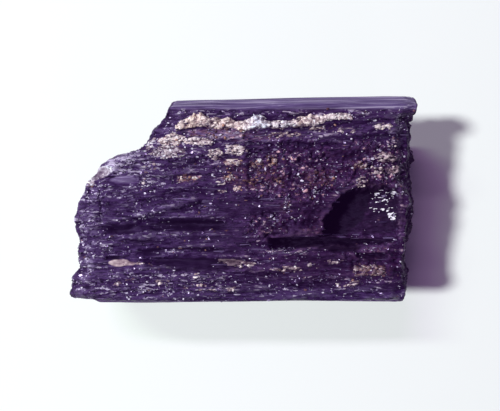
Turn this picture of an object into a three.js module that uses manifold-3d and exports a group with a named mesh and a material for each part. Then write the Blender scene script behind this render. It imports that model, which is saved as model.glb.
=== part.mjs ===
// A black tourmaline (schorl) crystal: the lengthwise half of a prism, lying on a flat prism face.
//
// Units are millimetres. +X runs along the crystal's long (c) axis and its striations, +Y across it,
// +Z up. The rest face is the plane z = 0, and the origin is the middle of the box's underside.
//
// The block starts as a box of unit coordinates (u, v, w), each from -1 to 1. u runs from the left
// break to the right one, v from the near prism face to the far one, and w from the rest face to the
// split face on top. crystalPoint() bends that box to the outline, the walls' sections and the relief
// of the split face. The splinter slot and the pocket are then cut out of it, the pale feldspar that
// grew through it is joined to it, and a plane cuts the rest face flat. It is all one grown solid.

import * as THREE from "three";
import { mergeVertices } from "three/addons/utils/BufferGeometryUtils.js";
import Module from "manifold-3d";

// --- driving dimensions ---------------------------------------------------------------------

const GRID = { along: 42, across: 26, up: 7 };
const BLACK_SCHORL = { color: 0x1d1624, roughness: 0.45, metalness: 0 };

// The widest outline. Each break is [y, x], from the near side to the far side.
const LEFT_BREAK = [
  [-18.4, -29.8], [-16.8, -31.0], [-12.5, -30.0], [-8.2, -29.3], [-3.9, -30.0], [-0.7, -29.1],
  [2.2, -27.8], [5.9, -25.7], [7.3, -22.7], [8.3, -19.7], [9.0, -18.1], [12.9, -15.3], [18.1, -12.2],
];
const RIGHT_BREAK = [
  [-18.4, 28.4], [-16.2, 29.6], [-11.5, 29.5], [-0.3, 30.3], [12.4, 30.3], [14.4, 29.7],
  [15.8, 30.4], [18.1, 30.5],
];
const NEAR_EDGE_Y = -18.4;
const FAR_EDGE = { y: 17.6, slope: 0.018 }; // the far edge runs out slightly towards +X

// How far each wall stands in from that outline: [share of the height, inset].
const FAR_WALL = [[0, 7.8], [0.42, 1.2], [0.84, 0], [1, 2.1]];
const NEAR_WALL = [[0, 8.6], [0.34, 1.6], [0.88, 0], [1, 0.6]];
const LEFT_WALL = [[0, 2.4], [0.3, 1.2], [0.8, 0], [1, 0.5]];
const RIGHT_WALL = [[0, 1.4], [0.35, 0.5], [0.78, 0], [1, 1.9]];

// The split face's height across the crystal: [y, z]. The far ridge is its highest line.
const SPLIT_FACE = [
  [-18.4, 16.3], [-17.2, 17.0], [-13.0, 17.4], [-9.2, 17.5], [-6.5, 18.0], [2.0, 18.7],
  [9.0, 19.0], [14.4, 19.4], [15.6, 20.2], [18.1, 20.3],
];
const END_DROP = { left: 1.1, right: 1.5, reach: 3.2 }; // the split face falls towards both breaks

// Long scoops and swells of the split face, each along a line: a negative height is a hollow.
const SWELLS = [
  { from: [-23.5, -5.0], to: [3.0, -3.6], halfWidth: 2.5, height: -1.7 },
  { from: [-18.0, -8.4], to: [-11.0, -8.4], halfWidth: 1.3, height: -0.9 },
  { from: [-23.5, -2.4], to: [-7.6, 0.4], halfWidth: 1.6, height: 0.5 },
  { from: [-14.0, -11.3], to: [0.5, -11.3], halfWidth: 1.6, height: -0.5 },
  { from: [5.0, -1.5], to: [12.0, 0.5], halfWidth: 4.0, height: 0.7 },
  { from: [-21.0, 3.3], to: [-18.0, 3.3], halfWidth: 1.8, height: -0.5 },
];
const UNEVEN = { top: 0.16, ends: 0.45 };
const REST_TRIM = 0.6; // the block reaches this far below the rest plane before it is cut flat

// Where a splinter parted: a straight slot along the grain.
const SLOT = { x: [4.3, 27.4], y: [-8.9, -7.0], floor: 15.2 };

// The pocket beside the slot, with a slanting cliff on its left and a floor that rises to the right.
const POCKET = {
  outline: [[12.8, -7.8], [14.2, -5.2], [15.9, -3.0], [17.7, -0.3], [19.4, 2.3], [27.4, 1.7], [27.8, -7.8]],
  floor: 12.9,
  rise: THREE.MathUtils.degToRad(15),
};
const OPEN_ABOVE = 10; // the cuts run out this far over their floors

// Pale feldspar grown through the split face: [x, y, half length, half width, half height]. The first
// ones run together into one seam below the far ridge.
const FELDSPAR = [
  [-11.2, 12.0, 1.3, 0.7, 0.5], [-9.6, 12.9, 2.0, 0.9, 0.7], [-7.2, 13.4, 2.3, 1.2, 0.8],
  [-4.7, 13.0, 1.9, 1.0, 0.7], [-2.2, 12.6, 2.2, 0.9, 0.8], [0.6, 12.9, 1.9, 1.2, 0.8],
  [2.6, 13.3, 2.0, 1.1, 0.9], [5.3, 13.0, 2.1, 0.8, 0.6], [7.9, 13.3, 2.0, 1.0, 0.8],
  [10.4, 13.6, 2.1, 1.2, 0.9], [12.8, 13.3, 1.9, 1.0, 0.8], [15.2, 13.8, 2.0, 0.8, 0.7],
  [17.6, 13.9, 1.6, 0.8, 0.7],
  [22.9, 12.2, 2.0, 0.9, 0.7], [23.7, 6.8, 2.5, 1.2, 1.1], [25.9, 6.0, 1.5, 1.3, 0.9],
  [20.2, 5.4, 2.0, 1.2, 0.9], [22.3, 4.9, 1.4, 1.2, 0.7], [24.9, 4.3, 2.1, 1.0, 0.9],
  [20.3, 3.4, 1.7, 1.3, 0.8], [-4.0, 7.3, 1.9, 1.2, 0.6], [-1.6, 6.9, 1.6, 1.4, 0.6],
  [-2.0, 5.0, 1.8, 1.1, 0.6], [-21.8, -11.4, 2.8, 0.9, 0.5], [23.0, -12.8, 3.5, 1.3, 0.5],
];
const FELDSPAR_LUMP = { detail: 1, sunk: 0.2 }; // each lump stands this much deeper than half in

// --- shape ----------------------------------------------------------------------------------

/** The value at t on a line of [place, value] points in rising order, held beyond its ends. */
function along(points, t) {
  if (t <= points[0][0]) return points[0][1];
  const next = points.findIndex(([place]) => place >= t);
  if (next < 0) return points.at(-1)[1];
  const [[t0, a], [t1, b]] = [points[next - 1], points[next]];
  return THREE.MathUtils.mapLinear(t, t0, t1, a, b);
}

/** How far a swell raises the split face at (x, y): full on its line, nothing at its half width. */
function swell({ from, to, halfWidth, height }, x, y) {
  const line = new THREE.Line3(new THREE.Vector3(...from, 0), new THREE.Vector3(...to, 0));
  const place = new THREE.Vector3(x, y, 0);
  const nearest = line.closestPointToPoint(place, true, new THREE.Vector3());
  const share = Math.min(1, place.distanceTo(nearest) / halfWidth);
  return height * (1 - share * share) ** 2;
}

/** The split face's height over (x, y), which lies between the breaks at left and right. */
function splitFaceHeight(x, y, left, right) {
  const nearLeft = 1 - THREE.MathUtils.smoothstep(x - left, 0, END_DROP.reach);
  const nearRight = 1 - THREE.MathUtils.smoothstep(right - x, 0, END_DROP.reach);
  const raised = SWELLS.reduce((sum, each) => sum + swell(each, x, y), 0);
  const uneven = UNEVEN.top * (Math.sin(1.1 * y + 0.23 * x) + Math.sin(2.3 * y - 0.31 * x));
  return along(SPLIT_FACE, y) + raised + uneven - END_DROP.left * nearLeft - END_DROP.right * nearRight;
}

/** The crystal's surface at unit coordinates (u, v, w). */
function crystalPoint({ x: u, y: v, z: w }) {
  const share = (w + 1) / 2;
  const roughEnd = UNEVEN.ends * Math.sin(5.1 * share + 2.9 * v) * Math.sin(3.3 * v + 1);
  const farEdge = FAR_EDGE.y + FAR_EDGE.slope * u * Math.abs(RIGHT_BREAK[0][1]);
  const y = THREE.MathUtils.mapLinear(
    v, -1, 1, NEAR_EDGE_Y + along(NEAR_WALL, share), farEdge - along(FAR_WALL, share),
  );
  const left = along(LEFT_BREAK, y) + along(LEFT_WALL, share);
  const right = along(RIGHT_BREAK, y) - along(RIGHT_WALL, share);
  const x = THREE.MathUtils.mapLinear(u, -1, 1, left, right);
  const bow = roughEnd * (1 - share) * share * u; // the breaks are uneven between their rims
  const z = THREE.MathUtils.lerp(-REST_TRIM, splitFaceHeight(x, y, left, right), share);
  return new THREE.Vector3(x + bow, y, z);
}

/** A closed geometry as a manifold-3d solid. */
function solidOf(geometry) {
  geometry.deleteAttribute("normal");
  geometry.deleteAttribute("uv");
  const merged = mergeVertices(geometry.index ? geometry : geometry.clone(), 1e-4);
  return new wasm.Manifold(new wasm.Mesh({
    numProp: 3,
    vertProperties: new Float32Array(merged.getAttribute("position").array),
    triVerts: new Uint32Array(merged.index.array),
  }));
}

/** A manifold-3d solid as a flat-shaded geometry. */
function geometryOf(solid) {
  const { vertProperties, triVerts } = solid.getMesh();
  const shared = new THREE.BufferGeometry()
    .setAttribute("position", new THREE.BufferAttribute(vertProperties, 3))
    .setIndex(new THREE.BufferAttribute(triVerts, 1));
  const geometry = shared.toNonIndexed();
  geometry.computeVertexNormals();
  return geometry;
}

/** The prism's block between its two breaks, before anything is cut from it. */
function block() {
  const box = new THREE.BoxGeometry(2, 2, 2, GRID.along, GRID.across, GRID.up);
  const position = box.getAttribute("position");
  for (let i = 0; i < position.count; i += 1) {
    const point = crystalPoint(new THREE.Vector3().fromBufferAttribute(position, i));
    position.setXYZ(i, ...point);
  }
  return solidOf(box);
}

/** The slot's void: a plain bar along the grain, open above. */
function slotVoid() {
  const { x, y, floor } = SLOT;
  const bar = new THREE.BoxGeometry(x[1] - x[0], y[1] - y[0], OPEN_ABOVE);
  bar.translate((x[0] + x[1]) / 2, (y[0] + y[1]) / 2, floor + OPEN_ABOVE / 2);
  return solidOf(bar);
}

/** The pocket's void: its outline pulled upwards, tipped so that the floor rises to the right. */
function pocketVoid() {
  const outline = new THREE.Shape(POCKET.outline.map(([x, y]) => new THREE.Vector2(x, y)).reverse());
  const depth = new THREE.ExtrudeGeometry(outline, { depth: OPEN_ABOVE, bevelEnabled: false });
  const [cliffFoot] = POCKET.outline[0];
  depth.translate(-cliffFoot, 0, 0);
  depth.rotateY(-POCKET.rise);
  depth.translate(cliffFoot, 0, POCKET.floor);
  return solidOf(depth);
}

/** One lump of feldspar, rather more than half sunk in the split face. */
function feldsparLump([x, y, halfLength, halfWidth, halfHeight]) {
  const lump = new THREE.IcosahedronGeometry(1, FELDSPAR_LUMP.detail);
  lump.rotateZ(x + y); // no two lie the same way round
  lump.rotateX(x);
  lump.scale(halfLength, halfWidth, halfHeight);
  lump.translate(x, y, along(SPLIT_FACE, y) - FELDSPAR_LUMP.sunk);
  return solidOf(lump);
}

/** Everything above the rest plane, as a solid to keep. */
function aboveRestPlane() {
  const size = 100;
  const half = new THREE.BoxGeometry(size, size, size);
  half.translate(0, 0, size / 2);
  return solidOf(half);
}

/** The whole crystal as one solid. */
function crystalSolid() {
  const cut = block().subtract(slotVoid()).subtract(pocketVoid());
  const grown = FELDSPAR.map(feldsparLump).reduce((solid, lump) => solid.add(lump), cut);
  return grown.intersect(aboveRestPlane());
}

// --- the part -------------------------------------------------------------------------------

const wasm = await Module();
wasm.setup();

const crystal = new THREE.Mesh(geometryOf(crystalSolid()), new THREE.MeshStandardMaterial(BLACK_SCHORL));
crystal.name = "tourmaline_crystal";
crystal.geometry.computeBoundingBox();
const middle = crystal.geometry.boundingBox.getCenter(new THREE.Vector3());
crystal.position.set(-middle.x, -middle.y, 0);

const part = new THREE.Group();
part.name = "tourmaline";
part.add(crystal);

export default part;
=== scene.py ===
"""The looks of a black tourmaline crystal: the lengthwise half of a schorl prism, split face up.

Shapes are worked out in the drawing's frame, in millimetres: +X runs along the grain, +Y across it
towards the far ridge, and +Z up from the rest face. place() carries them to the frame.
"""

import itertools
import logging
import math
from dataclasses import dataclass, field
from enum import Enum
from typing import NamedTuple

import bpy
import numpy as np
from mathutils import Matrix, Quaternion, Vector


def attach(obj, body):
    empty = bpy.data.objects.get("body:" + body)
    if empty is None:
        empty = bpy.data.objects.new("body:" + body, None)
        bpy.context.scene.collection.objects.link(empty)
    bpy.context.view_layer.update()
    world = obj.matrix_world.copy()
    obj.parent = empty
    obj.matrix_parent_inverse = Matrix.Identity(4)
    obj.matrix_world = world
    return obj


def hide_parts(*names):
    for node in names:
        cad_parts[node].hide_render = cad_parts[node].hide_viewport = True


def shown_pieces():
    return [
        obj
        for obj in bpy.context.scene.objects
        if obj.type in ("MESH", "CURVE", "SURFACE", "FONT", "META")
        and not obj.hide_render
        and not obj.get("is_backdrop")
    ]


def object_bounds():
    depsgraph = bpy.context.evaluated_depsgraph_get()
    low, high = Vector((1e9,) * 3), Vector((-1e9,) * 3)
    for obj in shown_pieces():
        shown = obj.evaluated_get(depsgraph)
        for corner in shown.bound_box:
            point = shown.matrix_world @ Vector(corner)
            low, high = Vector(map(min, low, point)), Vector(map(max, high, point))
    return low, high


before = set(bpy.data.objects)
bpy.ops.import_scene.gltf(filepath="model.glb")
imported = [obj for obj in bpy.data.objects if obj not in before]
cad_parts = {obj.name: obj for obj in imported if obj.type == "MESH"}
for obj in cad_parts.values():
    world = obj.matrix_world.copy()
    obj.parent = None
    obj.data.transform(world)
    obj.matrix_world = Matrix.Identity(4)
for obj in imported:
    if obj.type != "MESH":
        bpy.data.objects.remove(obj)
CAD_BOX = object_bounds()

LOG = logging.getLogger("tourmaline")
NODE = "tourmaline_crystal"
BODY = "root"
MM = 0.001
LOW_CORNER = (-30.675, -18.332)  # the crystal's low corner in the drawing's frame
SHAPE_SEED = 500  # added to a bed's seed for the draw of its copies' shapes

Array = np.ndarray
Pair = tuple[float, float]
Line = tuple[Pair, ...]
Triple = tuple[float, float, float]
Colour = Triple
Stops = tuple[tuple[float, Colour], ...]
Socket = bpy.types.NodeSocket


# --- random fields --------------------------------------------------------------------------


def ease(values: Array, low: float, high: float) -> Array:
    """0 up to low and 1 from high on, by the cubic 3t^2 - 2t^3 in between (low may be above high)."""
    t = np.clip((values - low) / (high - low), 0.0, 1.0)
    return t * t * (3.0 - 2.0 * t)


def traced(line: Line, x: Array) -> Array:
    """The y of a line of (x, y) corners at each x, held beyond its ends."""
    return np.interp(x, *zip(*line))


def between(span: Pair, share: Array) -> Array:
    """The number that lies at a share of the way from a span's start to its end."""
    return span[0] + (span[1] - span[0]) * share


@dataclass(frozen=True)
class Noise:
    """A smooth random field in space that is the same on every run."""

    seed: int

    def at(self, points: Array, size: float | Triple) -> Array:
        """Gradient noise: each lattice corner has a random arrow, and the value is the smooth blend of
        the eight corners' arrows, each dotted with the way from its corner to the point.

        Args:
            points: places, (n, 3), in millimetres.
            size: the size of a lattice cell, one number or one for each axis.

        Returns:
            About -1 to 1 for each point.
        """
        draw = np.random.default_rng(self.seed)
        table = draw.permutation(256)
        arrows = draw.normal(size=(256, 3))
        arrows /= np.linalg.norm(arrows, axis=1, keepdims=True)
        scaled = points / np.broadcast_to(np.asarray(size, float), (3,)) + 0.37 * self.seed
        cell = np.floor(scaled).astype(np.int64)
        part = scaled - cell
        blend = part**3 * (part * (part * 6.0 - 15.0) + 10.0)
        total = np.zeros(len(points))
        for corner in itertools.product((0, 1), repeat=3):
            at = (cell + corner) & 255
            key = table[(table[(table[at[:, 0]] + at[:, 1]) & 255] + at[:, 2]) & 255]
            share = np.prod(np.where(corner, blend, 1.0 - blend), axis=1)
            total += share * np.einsum("ij,ij->i", arrows[key], part - corner)
        return 1.6 * total

    def ridges(self, points: Array, size: float | Triple) -> Array:
        """1 on sharp crests down to about -1: one less twice the noise's distance from nought."""
        return 1.0 - 2.6 * np.abs(self.at(points, size))


@dataclass(frozen=True)
class Grains:
    """A random packing of grains over a plane, the same on every run."""

    seed: int

    def at(self, x: Array, y: Array, length: float, width: float) -> tuple[Array, Array]:
        """Each cell of a grid holds one jittered seed point, and a place belongs to the nearest.

        Args:
            x, y: places in millimetres.
            length: the grains' spacing along x.
            width: their spacing along y.

        Returns:
            The distance to the nearest seed in cells, and that grain's random number from 0 to 1.
        """
        draw = np.random.default_rng(self.seed)
        table = draw.permutation(1024)
        jitter = draw.random((1024, 3))
        across, up = x / length + self.seed, y / width + self.seed
        column, row = np.floor(across).astype(np.int64), np.floor(up).astype(np.int64)
        nearest, number = np.full(x.shape, 9.0), np.zeros(x.shape)
        for i, j in itertools.product((-1, 0, 1), repeat=2):
            key = table[(table[(column + i) & 1023] + row + j) & 1023]
            reach = np.hypot(
                column + i + jitter[key, 0] - across, row + j + jitter[key, 1] - up
            )
            number = np.where(reach < nearest, jitter[key, 2], number)
            nearest = np.minimum(nearest, reach)
        return nearest, number


# --- what the split face is made of ---------------------------------------------------------


class Mark(Enum):
    """What a patch of the surface is, each kept as an attribute of the mesh. DARK is darker stone and also
    painted shade in the pocket, the slot and some hollows; PALE is paler ground and also a painted
    highlight along the near edge; MICA is mica and also painted glints.
    """

    FELDSPAR = "feldspar"
    RUST = "rust"
    MICA = "mica"
    SMOOTH = "smooth"
    CRUMBLE = "crumble"
    PALE = "pale"
    DARK = "dark"
    SPECK = "speck"
    BLOOM = "bloom"
    WARM = "warm"


@dataclass(frozen=True)
class Fold:
    """A long hollow (negative height) or swell along a line, with a width for each side of it."""

    start: Pair
    end: Pair
    height: float
    far: float
    near: float
    start_fade: float = 1.5
    end_fade: float = 1.5

    def rise(self, x: Array, y: Array) -> Array:
        """How far it raises the surface: its height, times (1 - d^2)^2 across the line, where d is
        the distance as a share of that side's width, times an eased fade at each end.

        Args:
            x, y: places in millimetres.

        Returns:
            The rise at each place, in millimetres.
        """
        (x0, y0), (x1, y1) = self.start, self.end
        length = math.hypot(x1 - x0, y1 - y0)
        dx, dy = (x1 - x0) / length, (y1 - y0) / length
        along = (x - x0) * dx + (y - y0) * dy
        aside = (y - y0) * dx - (x - x0) * dy
        share = np.clip(np.abs(aside) / np.where(aside > 0, self.far, self.near), 0.0, 1.0)
        ends = ease(along, -0.5 * self.start_fade, 0.5 * self.start_fade)
        ends = ends * (1.0 - ease(along, length - 0.5 * self.end_fade, length + 0.5 * self.end_fade))
        return self.height * (1.0 - share**2) ** 2 * ends


@dataclass(frozen=True)
class Ledge:
    """A riser along a line: the ground on its far side stands higher, and falls away behind it."""

    line: Line
    height: float
    reach: float
    riser: float = 0.22
    fade: float = 0.6

    def rise(self, x: Array, y: Array) -> Array:
        """How far it raises the surface: an eased step at the line, times a fade behind it.

        Args:
            x, y: places in millimetres.

        Returns:
            The rise at each place, in millimetres.
        """
        behind = y - traced(self.line, x)
        first, last, fade = self.line[0][0], self.line[-1][0], self.fade
        ends = ease(x, first - fade, first + fade) * (1.0 - ease(x, last - fade, last + fade))
        return self.height * ease(behind, 0.0, self.riser) * (1.0 - ease(behind, 0.0, self.reach)) * ends


@dataclass(frozen=True)
class Patch:
    """A patch of another mineral, of smoother or more crumbling ground, or of darker or paler tone; some
    dark patches are painted shade, and a pale band along the near edge is a painted highlight.
    """

    mark: Mark
    x: float
    y: float
    half_length: float
    half_width: float
    strength: float = 1.0
    lift: float = 0.0
    bloom: float = 0.6  # how pale its feldspar is
    warm: float = 0.1  # how yellow its feldspar is, or below nought how grey
    tilt: float = 0.0  # degrees, turned from the grain towards +Y
    wander: float = 0.5  # how far its edge strays from the ellipse
    blur: float = 1.0  # how softly its edge fades

    def cover(self, x: Array, y: Array, warp: Array) -> Array:
        """How much of the patch lies at each place: 1 inside an ellipse and 0 outside it, with the
        ellipse's radius bent by the warp.

        Args:
            x, y: places in millimetres.
            warp: about -1 to 1, bends the edge.

        Returns:
            0 to 1 at each place.
        """
        turn = math.radians(self.tilt)
        dx, dy = x - self.x, y - self.y
        along = (dx * math.cos(turn) + dy * math.sin(turn)) / self.half_length
        aside = (dy * math.cos(turn) - dx * math.sin(turn)) / self.half_width
        edge = np.hypot(along, aside) + self.wander * warp
        return ease(edge, 1.0 + 0.12 * self.blur, 1.0 - 0.28 * self.blur)


# each fold: the start's and the end's x and y, the height, the far and near widths and the two fades
FOLDS = tuple(Fold(row[:2], row[2:4], *row[4:]) for row in (
    (-24, -5.5, -18.4, -5.3, -1.1, 1.1, 1.8, 3.8, 4), (-19, -4.4, -2, -4.8, -1.3, 1.5, 1.8, 4, 5),
    (-24.6, -4.2, -15, -2.3, 0.7, 1.3, 0.7, 1, 1), (-15.4, -2.4, -7.6, 0, 0.8, 1.5, 0.9, 1, 3),
    (-21.2, -7.4, -15.2, -7.6, -0.7, 0.35, 0.6, 2.5, 2), (-18, -9.6, -13.6, -9.5, -0.8, 0.9, 1.1, 3.2, 3),
    (-15.4, -8.8, -3.5, -9.1, -0.8, 0.4, 0.7, 2.5, 2), (-17, -11.2, 1.8, -11.3, -0.7, 1, 1.6, 2, 3),
    (-28.8, -2.9, -23, -2.9, -0.3, 0.2, 0.25, 0.5, 0.5),
    (-25.1, 1.4, -24.8, -4.3, -0.4, 0.18, 0.22, 0.6, 0.6),
    (-24.2, -10.4, -21.6, -10.3, -0.5, 0.25, 0.5, 0.4, 1),
    (-23.8, -12.4, -18.5, -12.4, -0.35, 0.3, 0.2, 0.6, 1), (-11, 11.2, 1.6, 11.2, -0.25, 0.6, 1, 2, 1.5),
    (-13.6, 15, 29.4, 15.2, -0.25, 0.22, 0.4, 1, 1), (20, -10, 25.4, -10.1, -0.8, 0.6, 0.8, 1, 1),
    (5, -1.5, 12, 0.5, 0.8, 3.6, 4, 4, 3), (-13, 0.6, -2, 1.2, -0.35, 0.6, 0.8, 3, 3),
    (-27.5, -14.6, 6, -14.9, -0.3, 0.3, 0.4, 3, 4), (-24, -16, 26, -16.2, 0.3, 0.5, 0.3, 3, 4),
    (2, -5.8, 12, -5.4, 0.5, 1.3, 0.8, 2, 2), (-22, 6.3, -13, 6.6, -0.4, 0.3, 0.6, 2, 2),
    (1, 9.7, 17, 9.3, -0.45, 0.4, 0.9, 2, 4), (-14, -1.6, -9.4, -1.5, 0.4, 0.7, 0.4, 1, 1),
))

LEDGES = (
    Ledge(((-29.6, -12.5), (-16.0, -12.7), (-5.0, -12.9), (6.0, -13.2)), 0.45, 2.5),
    Ledge(((-26.2, 5.3), (-24.2, 6.4), (-20.8, 6.7)), 0.6, 1.6),
    Ledge(((-23.7, 3.6), (-22.4, 4.2), (-20.4, 4.3), (-18.8, 3.7), (-17.8, 2.6)), 0.55, 1.5, 0.15),
    Ledge(((-13.5, 8.6), (-8.0, 8.9), (-2.5, 9.2)), 0.4, 1.0),
    Ledge(((-15.5, 3.6), (-9.0, 4.1), (-2.0, 4.3)), 0.35, 1.2),
    Ledge(((4.6, -9.1), (8.0, -9.2), (13.0, -9.3), (26.0, -9.2)), 0.35, 0.3),
    Ledge(((1.5, 11.9), (8.0, 12.1), (18.5, 13.1), (27.0, 13.6)), 0.4, 1.2),
    Ledge(((-12.0, -6.6), (-2.0, -6.9), (3.8, -6.8)), 0.4, 1.6),
    Ledge(((14.0, 10.6), (21.0, 10.9), (26.0, 11.2)), 0.35, 1.0),
    Ledge(((-27.0, -0.6), (-20.0, -0.9), (-14.0, 0.4)), 0.3, 1.2),
)

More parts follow.
